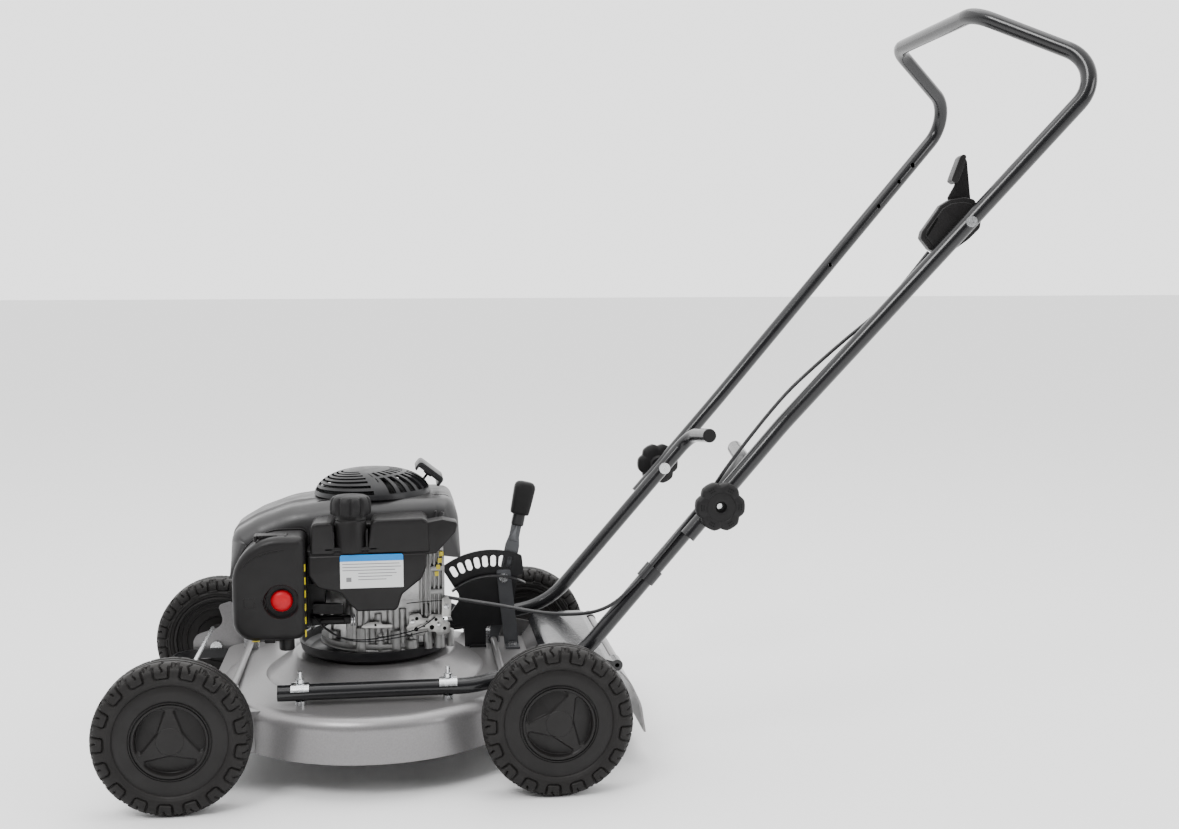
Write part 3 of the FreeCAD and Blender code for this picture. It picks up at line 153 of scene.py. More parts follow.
# --- materials
def finish(name, colour, rough, metal=0, grain=900, depth=0.00004, bump=0.25, mottle=0.12,
        mottle_scale=14, coat=0, coat_rough=0.08, rough_spread=0.08, dust=0, shine=0.5):
    """Surface with fine grain, slow colour variation, uneven gloss and dust on upper faces."""
    material = bpy.data.materials.new(name)
    material.use_nodes = True
    tree = material.node_tree
    shader = tree.nodes["Principled BSDF"]
    shader.inputs["Metallic"].default_value = metal
    shader.inputs["Specular IOR Level"].default_value = shine
    shader.inputs["Coat Weight"].default_value = coat
    shader.inputs["Coat Roughness"].default_value = coat_rough

    def node(kind, **inputs):
        made = tree.nodes.new(kind)
        for key, value in inputs.items():
            made.inputs[key.replace("_", " ")].default_value = value
        return made

    def link(source, output, target, slot):
        tree.links.new(source.outputs[output], target.inputs[slot])

    where = node("ShaderNodeTexCoord")
    slow = node("ShaderNodeTexNoise", Scale=mottle_scale, Detail=5, Roughness=0.6)
    link(where, "Object", slow, "Vector")
    dark = [channel * (1 - mottle) for channel in colour] + [1]
    light = [min(1, channel * (1 + mottle) + 0.004 * mottle) for channel in colour] + [1]
    tint = node("ShaderNodeMix")
    tint.data_type = "RGBA"
    tint.inputs["A"].default_value = dark
    tint.inputs["B"].default_value = light
    link(slow, "Fac", tint, "Factor")
    colour_out = tint
    if dust:
        facing = node("ShaderNodeNewGeometry")
        split = node("ShaderNodeSeparateXYZ")
        link(facing, "Normal", split, "Vector")
        patch = node("ShaderNodeTexNoise", Scale=34, Detail=6, Roughness=0.7)
        link(where, "Object", patch, "Vector")
        amount = node("ShaderNodeMath")
        amount.operation = "MULTIPLY"
        link(split, "Z", amount, 0)
        link(patch, "Fac", amount, 1)
        ramp = node("ShaderNodeMapRange", From_Min=0.25, From_Max=0.75, To_Min=0, To_Max=dust)
        link(amount, "Value", ramp, "Value")
        veil = node("ShaderNodeMix")
        veil.data_type = "RGBA"
        veil.inputs["B"].default_value = (0.32, 0.30, 0.27, 1)
        link(tint, "Result", veil, "A")
        link(ramp, "Result", veil, "Factor")
        colour_out = veil
    tree.links.new(colour_out.outputs["Result"], shader.inputs["Base Color"])

    fine = node("ShaderNodeTexNoise", Scale=grain, Detail=3, Roughness=0.65)
    link(where, "Object", fine, "Vector")
    raised = node("ShaderNodeBump", Strength=bump, Distance=depth)
    link(fine, "Fac", raised, "Height")
    link(raised, "Normal", shader, "Normal")
    gloss = node("ShaderNodeTexNoise", Scale=mottle_scale * 3, Detail=4, Roughness=0.6)
    link(where, "Object", gloss, "Vector")
    spread = node("ShaderNodeMapRange", From_Min=0.3, From_Max=0.7,
        To_Min=max(0.03, rough - rough_spread), To_Max=rough + rough_spread)
    link(gloss, "Fac", spread, "Value")
    link(spread, "Result", shader, "Roughness")
    return material


FINISHES = {}


def build_finishes():
    FINISHES.update({
        "silver": finish("silver_paint", (0.205, 0.2, 0.202), 0.38, metal=0.6, grain=3200,
            depth=0.00005, bump=0.4, mottle=0.22, mottle_scale=430, coat=0.25, coat_rough=0.15,
            dust=0.08),
        "black": finish("black_gloss_coat", (0.008, 0.008, 0.009), 0.24, grain=55, depth=0.00004,
            bump=0.05, mottle=0.3, mottle_scale=30, coat=0.3, coat_rough=0.07, shine=0.3,
            rough_spread=0.04),
        "dark_steel": finish("black_satin_coat", (0.01, 0.01, 0.011), 0.36, grain=500, bump=0.25,
            mottle=0.3, dust=0.02, shine=0.35),
        "grey_steel": finish("grey_coated_steel", (0.1, 0.103, 0.11), 0.36, metal=0.55, grain=600,
            mottle=0.25, dust=0.06),
        "zinc": finish("zinc_plate", (0.62, 0.63, 0.64), 0.26, metal=1, grain=500, mottle=0.15,
            mottle_scale=90, bump=0.35),
        "plate": finish("bright_pressed_plate", (0.4, 0.395, 0.385), 0.36, metal=0.9, grain=800,
            mottle=0.16, mottle_scale=60, bump=0.35),
        "cast": finish("cast_aluminium", (0.29, 0.288, 0.285), 0.44, metal=0.85, grain=380,
            depth=0.0002, bump=0.6, mottle=0.32, mottle_scale=60, dust=0.06),
        "shroud": finish("shroud_grey", (0.026, 0.0255, 0.0262), 0.4, grain=1500, bump=0.35,
            mottle=0.08, dust=0.02, shine=0.45),
        "shroud_dark": finish("shroud_dark_grey", (0.01, 0.01, 0.011), 0.38, grain=1500, bump=0.35,
            mottle=0.1, shine=0.28),
        "plastic": finish("black_moulding", (0.0085, 0.0079, 0.0081), 0.44, grain=1300, bump=0.4,
            mottle=0.12, dust=0.008, shine=0.22),
        "soft_black": finish("soft_black_grip", (0.0078, 0.0075, 0.0078), 0.55, grain=900,
            depth=0.0001, bump=0.5, mottle=0.15, dust=0.006, shine=0.22),
        # Painted shade: near-black finish that stands in for the shade inside holes, slits, dimples
        # and under the fan cover.
        "painted_shade": finish("shadow_black", (0.0015, 0.0015, 0.0015), 0.8, mottle=0.2, shine=0.1),
        "tyre": finish("tyre_rubber", (0.0088, 0.0079, 0.0076), 0.58, grain=700, depth=0.0001,
            bump=0.5, mottle=0.18, mottle_scale=22, dust=0.03, shine=0.25),
        "hub": finish("hub_moulding", (0.0086, 0.0078, 0.0076), 0.47, grain=1100, bump=0.35,
            mottle=0.14, dust=0.008, shine=0.25),
        "red": finish("primer_red", (0.42, 0, 0.008), 0.45, grain=900, bump=0.3, mottle=0.1,
            mottle_scale=120, shine=0.3),
        "foam": finish("filter_foam", (0.45, 0.36, 0.05), 0.9, grain=600, depth=0.0006, bump=0.8),
        "jacket": finish("cable_jacket", (0.01, 0.01, 0.011), 0.36, grain=1400, mottle=0.2,
            shine=0.4),
        "iron": finish("cast_iron", (0.14, 0.14, 0.14), 0.6, metal=0.8, grain=300, depth=0.0002,
            bump=0.6, mottle=0.25),
        "ground": finish("ground_steel", (0.4, 0.4, 0.41), 0.33, metal=1, grain=1500, mottle=0.15),
        "label_white": finish("label_white", (0.62, 0.63, 0.63), 0.35, mottle=0.05, grain=2200,
            bump=0.1),
        "label_blue": finish("label_blue", (0, 0.2, 0.56), 0.35, mottle=0.06, grain=2200, bump=0.1,
            shine=0.3),
        "mark_grey": finish("mark_grey", (0.16, 0.16, 0.165), 0.4, mottle=0.1),
        "yellow": finish("marking_yellow", (0.62, 0.50, 0.015), 0.45, mottle=0.12,
            mottle_scale=200),
        "rope": finish("braided_rope", (0.01, 0.01, 0.01), 0.8, grain=1600, depth=0.0004,
            bump=0.9),
    })


# --- mesh helpers
def rounded(points, steps=7):
    """Closed outline of (x, z[, corner radius]) points with its corners turned into arcs."""
    dense = []
    count = len(points)
    for i, point in enumerate(points):
        here = Vector(point[:2])
        radius = point[2] if len(point) > 2 else 0
        if not radius:
            dense.append(here)
            continue
        back = (Vector(points[i - 1][:2]) - here).normalized()
        ahead = (Vector(points[(i + 1) % count][:2]) - here).normalized()
        half = back.angle(ahead) / 2
        centre = here + (back + ahead).normalized() * (radius / sin(half))
        start = here + back * (radius / tan(half)) - centre
        end = here + ahead * (radius / tan(half)) - centre
        sweep = start.angle_signed(end)
        for step in range(steps + 1):
            turned = start.copy()
            turned.rotate(Matrix.Rotation(-sweep * step / steps, 2))
            dense.append(centre + turned)
    return dense


def evenly(outline, count):
    """The same closed outline with its points spaced evenly along it."""
    points = np.array([tuple(p) for p in outline] + [tuple(outline[0])])
    steps = np.r_[0, np.cumsum(np.hypot(*np.diff(points, axis=0).T))]
    spots = np.linspace(0, steps[-1], count, endpoint=False)
    return [Vector((float(np.interp(t, steps, points[:, 0])),
        float(np.interp(t, steps, points[:, 1])))) for t in spots]


def extrusion(outline, low, high):
    """Vertices and faces of an (x, z) outline drawn out along y."""
    count = len(outline)
    verts = [(p[0], low, p[1]) for p in outline] + [(p[0], high, p[1]) for p in outline]
    sides = [(i, (i + 1) % count, count + (i + 1) % count, count + i) for i in range(count)]
    return verts, sides + [tuple(range(count)), tuple(range(2 * count - 1, count - 1, -1))]


def upright(outline, low, high):
    """Vertices and faces of an (x, y) outline drawn out upwards."""
    verts, faces = extrusion(outline, low, high)
    return [(x, z, y) for x, y, z in verts], faces


def block(x0, x1, y0, y1, z0, z1):
    return extrusion([(x0, z0), (x1, z0), (x1, z1), (x0, z1)], y0, y1)


def ring_mesh(rings, closed_ring=True, cap_start=False, cap_end=False):
    """Skin over a list of rings that all have the same number of points."""
    count = len(rings[0])
    verts = [tuple(point) for ring in rings for point in ring]
    faces = []
    last = count if closed_ring else count - 1
    for k in range(len(rings) - 1):
        for i in range(last):
            j = (i + 1) % count
            faces.append((k * count + i, k * count + j, (k + 1) * count + j, (k + 1) * count + i))
    if cap_start:
        faces.append(tuple(range(count - 1, -1, -1)))
    if cap_end:
        base = (len(rings) - 1) * count
        faces.append(tuple(range(base, base + count)))
    return verts, faces


def capped(rings):
    return ring_mesh(rings, cap_start=True, cap_end=True)


def turned(profile, centre, axis="z", steps=48):
    """Turn a closed (radius, height) profile about an axis through centre."""
    rings = []
    for radius, height in profile:
        ring = []
        for angle in angles(steps):
            a, b = radius * cos(angle), radius * sin(angle)
            offset = {"x": (height, a, b), "y": (a, height, b), "z": (a, b, height)}[axis]
            ring.append(tuple(c + o for c, o in zip(centre, offset)))
        rings.append(ring)
    return ring_mesh(rings + [rings[0]])


def merged(*parts):
    verts, faces = [], []
    for part_verts, part_faces in parts:
        base = len(verts)
        verts.extend(part_verts)
        faces.extend(tuple(base + i for i in face) for face in part_faces)
    return verts, faces


def wire_mesh(points, radius, sides=12, closed=False):
    """Round wire along points, with its ends closed."""
    path = [Vector(point) for point in points]
    count = len(path)
    rings = []
    side = None
    for i in range(count):
        ahead = path[(i + 1) % count] if closed or i < count - 1 else path[i]
        back = path[i - 1] if closed or i > 0 else path[i]
        way = (ahead - back).normalized()
        if side is None:
            side = way.orthogonal().normalized()
        side = (side - way * side.dot(way)).normalized()
        other = way.cross(side)
        rings.append([path[i] + (side * cos(angle) + other * sin(angle)) * radius
            for angle in angles(sides)])
    if closed:
        return ring_mesh(rings + [rings[0]])
    return capped(rings)


def smooth_path(points, order=3, steps=8):
    """Points along the NURBS curve that has these control points."""
    curve = bpy.data.curves.new("path", "CURVE")
    curve.dimensions = "3D"
    spline = curve.splines.new("NURBS")
    spline.points.add(len(points) - 1)
    for control, point in zip(spline.points, points):
        control.co = (*point, 1)
    spline.order_u = order
    spline.use_endpoint_u = True
    spline.resolution_u = steps
    holder = bpy.data.objects.new("path", curve)
    mesh = bpy.data.meshes.new_from_object(holder)
    line = [vertex.co.copy() for vertex in mesh.vertices]
    bpy.data.objects.remove(holder)
    bpy.data.curves.remove(curve)
    bpy.data.meshes.remove(mesh)
    return line


def apply_modifiers(obj):
    """Replace the object's mesh by the one that its modifiers make."""
    bpy.context.view_layer.update()
    made = obj.evaluated_get(bpy.context.evaluated_depsgraph_get())
    final = bpy.data.meshes.new_from_object(made)
    obj.modifiers.clear()
    obj.data = final


WELD_REACH = 1e-6


def piece(name, geometry, material, body="chassis", replaces=(), bevel=0,
        segments=2, shell=0, crease=35, transform=None):
    """Object from one or more millimetre meshes: thickened, bevelled, shaded, tied to its body."""
    verts, faces = merged(*geometry) if isinstance(geometry, list) else geometry
    if transform is None:
        points = [place(*vert) for vert in verts]
    else:
        points = [tuple(transform @ (Vector(vert) * MM)) for vert in verts]
    mesh = bpy.data.meshes.new(name)
    mesh.from_pydata(points, [], faces)
    build = bmesh.new()
    build.from_mesh(mesh)
    bmesh.ops.remove_doubles(build, verts=build.verts, dist=WELD_REACH)
    bmesh.ops.dissolve_degenerate(build, edges=build.edges, dist=WELD_REACH / 10)
    bmesh.ops.recalc_face_normals(build, faces=build.faces)
    build.to_mesh(mesh)
    build.free()
    obj = new_object(name, mesh)
    if shell:
        solid = obj.modifiers.new("shell", "SOLIDIFY")
        solid.thickness = shell * MM
        solid.offset = -1
    if bevel:
        edge = obj.modifiers.new("bevel", "BEVEL")
        edge.width = bevel * MM
        edge.segments = segments
        edge.limit_method = "ANGLE"
        edge.angle_limit = radians(crease)
    if shell or bevel:
        apply_modifiers(obj)
        obj.data.name = name
    shade(obj.data, crease)
    obj.data.materials.clear()
    obj.data.materials.append(FINISHES[material])
    if isinstance(body, tuple):
        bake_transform(obj)
    else:
        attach(obj, body)
    if replaces:
        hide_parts(*replaces)
    return obj


def shade(mesh, crease):
    build = bmesh.new()
    build.from_mesh(mesh)
    limit = radians(crease)
    for face in build.faces:
        face.smooth = True
    for edge in build.edges:
        edge.smooth = len(edge.link_faces) == 2 and edge.calc_face_angle(pi) < limit
    build.to_mesh(mesh)
    build.free()


# --- wheels
LUGS = 17
TYRE_STEPS = 26 * LUGS
TYRE_HALF = [(71.5, 20.5), (74, 23.4), (78, 24.9), (83, 25.8), (88, 25.6), (92.5, 24.4), (96, 21.8),
    (98.6, 18.4), (99.8, 14.5), (100, 10), (100, 5), (100, 0)]
GROOVE_DEPTH = 2.7
TYRE_SEAT = 71


def smooth_step(value, low, high):
    share = np.clip((value - low) / (high - low), 0, 1)
    return share * share * (3 - 2 * share)


def groove(distance, half_width=1, soft=0.9):
    """1 inside a groove line, falling to 0 beside it."""
    return 1 - smooth_step(np.abs(distance), half_width, half_width + soft)


def tyre_profile():
    """Evenly spaced (radius, out) points from seat to seat, and their distance from the middle."""
    half = np.array(TYRE_HALF)
    full = np.vstack([half, (half * [1, -1])[::-1][1:]])
    steps = np.r_[0, np.cumsum(np.hypot(*np.diff(full, axis=0).T))]
    even = np.linspace(0, steps[-1], 84)
    radius = np.interp(even, steps, full[:, 0])
    out = np.interp(even, steps, full[:, 1])
    kernel = np.array([0.25, 0.5, 0.25])
    for _ in range(2):
        radius[1:-1] = np.convolve(radius, kernel, "valid")
        out[1:-1] = np.convolve(out, kernel, "valid")
    return radius, out, even - steps[-1] / 2


def tread_depth(along, across):
    """Depth of the tread pattern; along is round the tyre, across is from its middle line."""
    pitch = 2 * pi * 100 / LUGS
    near = np.abs(across)
    shift = np.where(across > 0, 0, pitch / 2)
    local = (along + shift + pitch / 2) % pitch - pitch / 2
    box_x = np.abs(local) - 6.8
    box_y = np.abs(near - 27) - 7.5
    outside = np.hypot(np.maximum(box_x, 0), np.maximum(box_y, 0))
    frame_distance = outside + np.minimum(np.maximum(box_x, box_y), 0) - 3.6
    cup = groove(frame_distance, 0.75, 0.85) * smooth_step(near, 20, 22)
    sipe = groove(local - 1.8 * np.sin(near * 0.4), 0.7, 0.8)
    sipe = sipe * smooth_step(near, 8, 9) * (1 - smooth_step(near, 28, 30))
    notch = groove(np.abs(local) - 14.6, 0.8, 0.8)
    notch = notch * smooth_step(near, 12, 13) * (1 - smooth_step(near, 23, 25))
    between = groove(np.abs(local) - pitch / 2, 1, 0.9) * smooth_step(near, 14, 15)
    between = between * (1 - smooth_step(near, 21, 22))
    ring = groove(near - 5, 0.8, 0.8)
    deepest = cup
    for part in (sipe, notch, between, ring):
        deepest = np.maximum(deepest, part)
    return GROOVE_DEPTH * np.clip(deepest, 0, 1)


def build_tyre(end, side_name):
    node = f"tyre_{end}_{side_name}"
    cx, cy, cz = to_mm(middle(node))
    side = SIDES[side_name]
    radius, out, across = tyre_profile()
    count = len(radius)
    angle = np.arange(TYRE_STEPS) * 2 * pi / TYRE_STEPS
    slope_r, slope_o = np.gradient(radius), np.gradient(out)
    size = np.hypot(slope_r, slope_o)
    normal_r, normal_o = -slope_o / size, slope_r / size
    flip = np.sign(normal_r[count // 2])
    normal_r, normal_o = normal_r * flip, normal_o * flip
    depth = tread_depth(angle[:, None] * 100, across[None, :])
    band = 0.4 * groove(radius - 75, 0.5, 0.8)
    inner_side = out < 0
    ribs = 0.9 * sum(groove(radius - r, 0.7, 0.9) for r in (76, 80, 84)) * inner_side
    depth = depth + (np.where(inner_side, ribs, band))[None, :]
    r = radius[None, :] - normal_r[None, :] * depth
    o = out[None, :] - normal_o[None, :] * depth
    c, s = np.cos(angle)[:, None], np.sin(angle)[:, None]
    rings = np.stack([cx + r * c, cy + side * o + 0 * c, cz + r * s], axis=2)
    inner = np.stack([cx + TYRE_SEAT * c, cy + 0 * c, cz + TYRE_SEAT * s], axis=2)
    rings = np.concatenate([rings, inner], axis=1).tolist()
    piece(f"{end}_tyre_{side_name}", ring_mesh(rings + [rings[0]]), "tyre",
        f"wheel_{end}_{side_name}", [node], crease=42)


CAP_RING = 50.5
POCKET_CHORD = 14.5
HUB_SPIN = {("front", "left"): 0, ("rear", "left"): -0.44, ("front", "right"): 0.7,
    ("rear", "right"): 0.2}


def cap_height(radius, angle, spin):
    """Relief of the hub cap: a raised rim, three segment pockets and a faint centre disc."""
    height = -1.6 * (1 - smooth_step(radius, 43.8, 45.2))
    height = height + 0.8 * (1 - smooth_step(radius, 17, 17.9))
    height = height - 2.2 * groove(radius - 48.6, 0.5, 0.5)
    for turn in (spin - pi / 2, spin + pi / 6, spin + pi * 5 / 6):
        toward = radius * np.cos(angle - turn)
        beside = radius * np.sin(angle - turn)
        chord = POCKET_CHORD + 3 + 0.18 * np.abs(beside)
        inside = smooth_step(toward, chord, chord + 2.4) * (1 - smooth_step(radius, 42.6, 44.2))
        inside *= 1 - smooth_step(np.abs(beside), 30, 33.5)
        height = height - inside * (3.4 + 0.20 * np.maximum(toward - chord, 0))
    return height


def build_hub(end, side_name):
    node = f"hub_{end}_{side_name}"
    cx, cy, cz = to_mm(middle(f"tyre_{end}_{side_name}"))
    side = SIDES[side_name]
    face_out = 24
    radii = np.r_[0, np.linspace(1, CAP_RING, 66)]
    angle = np.arange(180) * 2 * pi / 180
    spin = HUB_SPIN[end, side_name]
    profile = [(radius, face_out + cap_height(np.full_like(angle, radius), angle, spin))
        for radius in radii]
    profile += ((CAP_RING, 21.6), (51.8, 21.6), (52.4, 22.4), (63, 22.6), (67, 22), (71.6, 20.6),
        (71.6, -20.4), (69, -21.4), (67.5, -21), (66.5, -17), (63, -16), (62, -17.2), (60.6, -17),
        (59.6, -14.8), (54, -13.6), (53, -14.8), (51.8, -14.6), (50.8, -12.6), (38, -10.6),
        (37, -8), (24, -7), (22, -9), (20, -22), (18.5, -24), (7.2, -24), (6.4, -23), (6.4, 6))
    rings = [np.stack([cx + radius * np.cos(angle), cy + side * out + 0 * angle,
        cz + radius * np.sin(angle)], axis=1).tolist() for radius, out in profile]
    cap = ring_mesh(rings, cap_end=True)
    piece(f"{end}_hub_{side_name}", cap, "hub", f"wheel_{end}_{side_name}", [node],
        crease=32)


# --- engine covers
COWL_LINE = [(56, 268), (57, 330, 22), (92, 350, 60), (140, 367, 120), (210, 373.6, 200),
    (345, 374.2, 16), (366, 369, 16), (375, 345, 40), (378, 289)]
COWL_LIP = [(352, 344), (356, 330), (361, 316), (366, 302), (369, 290)]


def lip_point(share):
    """Point on the inner edge of the shroud's rear lip."""
    spot = share * (len(COWL_LIP) - 1)
    i = min(int(spot), len(COWL_LIP) - 2)
    a, b = COWL_LIP[i], COWL_LIP[i + 1]
    return a[0] + (b[0] - a[0]) * (spot - i), a[1] + (b[1] - a[1]) * (spot - i)


COWL_EDGE = 28
REAR_LIP_X = 340


def build_cowl():
    """Shroud over the engine: side walls that turn over into a crowned top, and a rear lip."""
    low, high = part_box("cowl")
    near, far = low.y / MM, high.y / MM
    middle_y = (near + far) / 2
    top = high.z / MM
    line = rounded(COWL_LINE, 10)
    turns = [pi / 2 * k / 9 for k in range(10)]
    sides = [(COWL_EDGE * (1 - sin(turn)), COWL_EDGE * (1 - cos(turn))) for turn in turns]
    section = [(near + gap, inset) for inset, gap in sides]
    section += [(near + COWL_EDGE + (far - near - 2 * COWL_EDGE) * k / 26, 0) for k in range(1, 26)]
    section += [(far - gap, inset) for inset, gap in reversed(sides)]
    rings = []
    for y, inset in section:
        ring = []
        from_middle = abs(y - middle_y)
        for i, here in enumerate(line):
            way = (line[min(i + 1, len(line) - 1)] - line[max(i - 1, 0)]).normalized()
            inward = Vector((way.y, -way.x))
            share = float(smooth_step(here.y, 288, 330))
            if here.x > REAR_LIP_X:
                share = float(smooth_step(here.y, 300, 345)) * 0.7 + 0.12
            beside = float(smooth_step(from_middle, 27, 31))
            beside *= float(1 - smooth_step(here.x, 176, 196))
            move = inward * (inset * share + 2.4 * beside * share)
            ring.append((here.x + move.x, y, min(here.y + move.y, top)))
        rings.append(ring)
    skin = ring_mesh(rings, closed_ring=False)
    rear = [i for i, point in enumerate(line) if point.x > REAR_LIP_X]
    near_base, far_base = [], []
    for i, (near_point, far_point) in enumerate(zip(rings[0], rings[-1])):
        floor = 268 if near_point[0] < 214 else 300
        far_base.append((far_point[0], far, min(floor, far_point[2])))
        if i in rear:
            x, z = lip_point((i - rear[0]) / (len(rear) - 1))
            near_base.append((min(x, near_point[0] - 1), near + 0.6, min(z, near_point[2])))
        else:
            near_base.append((near_point[0], near, floor if near_point[0] < 300 else 344))
    walls = [ring_mesh([rings[0], near_base], closed_ring=False),
        ring_mesh([rings[-1], far_base], closed_ring=False)]
    skin_object = piece("cowl_skin", [skin, *walls], "shroud", "chassis", ["cowl"],
        shell=2.4, crease=38)
    for x, y, long, wide in ((186, -60, 9, 5), (359, -40, 5, 3.4), (347, -40, 8.5, 3)):
        punch(skin_object, x, y, 330, 400, long, wide)


def punch(target, x, y, low, high, long, wide):
    """Cut an upright oval hole through a piece."""
    oval = [(x + long * cos(a), y + wide * sin(a)) for a in angles(28)]
    verts, faces = upright(oval, low, high)
    mesh = bpy.data.meshes.new("punch")
    mesh.from_pydata([place(*vert) for vert in verts], [], faces)
    cutter = new_object("punch", mesh)
    cut = target.modifiers.new("cut", "BOOLEAN")
    cut.operation = "DIFFERENCE"
    cut.solver = "EXACT"
    cut.object = cutter
    apply_modifiers(target)
    bpy.data.objects.remove(cutter)
    bpy.data.meshes.remove(mesh)
    shade(target.data, 38)


def build_recoil():
    """Domed fan cover: curved louvres to the front, upright slots to the rear."""
    low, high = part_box("recoil_housing")
    cx, cy, _ = to_mm(middle("recoil_housing"))
    axle = (cx, cy, 0)
    radius = (high.x - low.x) / 2 / MM
    top = high.z / MM
    base = top - 36
    slots = [(24.5, 29), (34, 38.5), (43.5, 48), (53, 57.5), (62, 66.5), (71, 75), (78.6, 82)]
    bands = [0, 12, 20] + [edge for pair in slots for edge in pair] + [83.2, radius]
    steps = 240
    pitch = 360 / steps
    grid = []
    for band in bands:
        slide = -0.30 * (radius - band)
        ring = []
        for i in range(steps):
            angle = radians(i * pitch)
            dx = slide + band * cos(angle)
            dy = 0.25 * slide + band * sin(angle)
            share = min(hypot(dx, dy) / radius, 1)
            z = base + (top - base) * max(1 - share ** 2.6, 0) ** 0.55
            ring.append((cx + dx, cy + dy, z))
        grid.append(ring)
    verts = [point for ring in grid for point in ring]
    faces = []
    for k in range(len(bands) - 1):
        in_slot = any(low_edge <= bands[k] < high_edge for low_edge, high_edge in slots)
        for i in range(steps):
            degrees = i * pitch
            front = 84 < degrees < 264 + 10 * k / len(bands)
            if front and in_slot and not 168 < degrees < 174:
                continue
            rear = degrees > 276 + 10 * k / len(bands) or degrees < 70
            row = 38.5 <= bands[k] < 53 or 57.5 <= bands[k] < 82
            if rear and row and i % 8 < 4 + (k > 8):
                continue
            j = (i + 1) % steps
            faces.append((k * steps + i, k * steps + j, (k + 1) * steps + j, (k + 1) * steps + i))
    piece("fan_cover", (verts, faces), "shroud_dark", replaces=["recoil_housing"], shell=3.4,
        crease=40)
    # Painted shade: a near-black disc and ring under the dome stand in for the dark inside seen
    # through the louvres and slots.
    shade_disc = turned([(1, base + 3.5), (79, base + 3.5), (79, base + 4.5), (1, base + 4.5)], axle,
        steps=48)
    rim = turned([(79.5, base + 0.4), (83.5, base + 0.4), (83.5, base + 2.6), (79.5, base + 3.2)],
        axle, steps=96)
    piece("fan_shade_disc", [shade_disc, rim], "painted_shade", crease=35)


def oriented(point, axis_x, axis_z):
    """Matrix from a local frame at point to the frame, in metres."""
    x = Vector(axis_x).normalized()
    z = Vector(axis_z).normalized()
    y = z.cross(x)
    turn = Matrix((x, y, z)).transposed().to_4x4()
    return Matrix.Translation(Vector(point)) @ turn


def build_starter():
    """Hollow pull grip on the dome's shoulder, and the rope that joins it to the dome."""
    way = Vector(JOINTS["starter_pull"]["axis"]).normalized()
    seat = middle("starter_grip") - way * (7.5 * MM)
    local = oriented(seat, (way.z, 0, -way.x), way)
    shell = rounded([(-22, 1, 3), (-18, 0.5), (-18, 11, 4), (18, 11, 4), (18, 0.5), (22, 1, 3),
        (22, 15.5, 5), (-22, 15.5, 5)], 4)
    ends = [block(-20, 20, side - 1.5, side + 1.5, 7 if side < 0 else 2, 14)
        for side in (-25.5, 25.5)]
    boss = turned([(0.5, 3), (7, 3), (7, 12.5), (0.5, 12.5)], (0, 0, 0), steps=24)
    grip = merged(extrusion(shell, -28, 28), *ends, boss)
    piece("pull_grip_cover", grip, "shroud_dark", "pull_grip", replaces=["starter_grip"], bevel=0.9,
        transform=local)
    line = [seat - way * (9 * MM) + way * (18 * MM * k / 12) for k in range(13)]
    piece("pull_rope", wire_mesh([to_mm(p) for p in line], 1.9, 14), "rope",
        ("chassis", "pull_grip", tuple(line[2]), tuple(line[-3])), ["starter_rope"])


def build_tank():
    low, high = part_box("fuel_tank")
    near, far = low.y / MM + 4, high.y / MM
    neck_x, neck_y, _ = to_mm(middle("fuel_cap"))
    body = rounded([(233, 230, 7), (287, 230, 7), (294, 252, 9), (321, 273, 14), (328, 290, 9),
        (329, 309), (168, 309), (168, 282, 8), (180, 264, 12), (210, 257, 12), (223, 240, 7)])
    right_lobe = rounded([(247, 309), (333, 309), (331, 353, 10), (322, 357, 6), (254, 356, 9)])
    left_lobe = rounded([(171, 309), (205, 309), (203, 352, 6), (194, 354, 6), (173, 353, 8)])
    shelf = rounded([(190, 309), (262, 309), (262, 346, 4), (190, 346, 4)])
    solid = [extrusion(body, near, far), extrusion(right_lobe, near + 1, far),
        extrusion(left_lobe, near + 1, far), extrusion(shelf, near + 34, far)]
    piece("tank_body", solid, "plastic", replaces=["fuel_tank"], bevel=5.5, segments=4, crease=40)
    rim = rounded([(166, -152, 6), (339, -152, 8), (348, far), (166, far)], 6)
    tabs = [block(x - 1.6, x + 1.6, near + 1.5, near + 26, 314, 341) for x in (202.5, 247.5)]
    tabs.append(block(190, 262, near + 1, near + 30, 314, 319))
    rail = rounded([(326, 307), (341, 307, 5), (368, 336, 6), (371, 349, 4), (350, 354, 6),
        (326, 350)])
    piece("tank_rim", merged(upright(rim, 306.5, 314.5), *tabs,
        extrusion(rail, near + 3, near + 34)), "plastic", bevel=1.6)
    neck_mesh = turned([(17, 312), (21, 312), (21, 352), (20, 354), (20.5, 356), (19.5, 358),
        (19.5, 362), (17, 362)], (neck_x, neck_y, 0), steps=48)
    piece("tank_neck", neck_mesh, "plastic")
    build_cap(neck_x, neck_y)


def build_cap(x, y):
    """Fluted filler cap with a slightly domed top."""
    rings = []
    for radius, height, flute in ((17, 363, 0), (26.5, 363, 0.6), (27.4, 364.4, 1), (28, 370, 1),
            (27.6, 378, 1), (26.4, 383, 0.9), (24, 386.4, 0.5), (20, 388, 0.15), (12, 388.7, 0),
            (4, 389, 0), (0.3, 389, 0)):
        ring = []
        for angle in angles(168):
            wave = min(1, 1.5 * (0.5 + 0.5 * cos(10 * angle)) ** 0.6)
            r = radius - flute * 3.2 * (1 - wave)
            ring.append((x + r * cos(angle), y + r * sin(angle), height))
        rings.append(ring)
    under = [[(x + 16.5 * cos(angle), y + 16.5 * sin(angle), height) for angle in angles(168)]
        for height in (356.5, 363)]
    piece("filler_cap", capped(under + rings), "soft_black", "cap", replaces=["fuel_cap"],
        crease=38)


PRIMER_WELL = 24


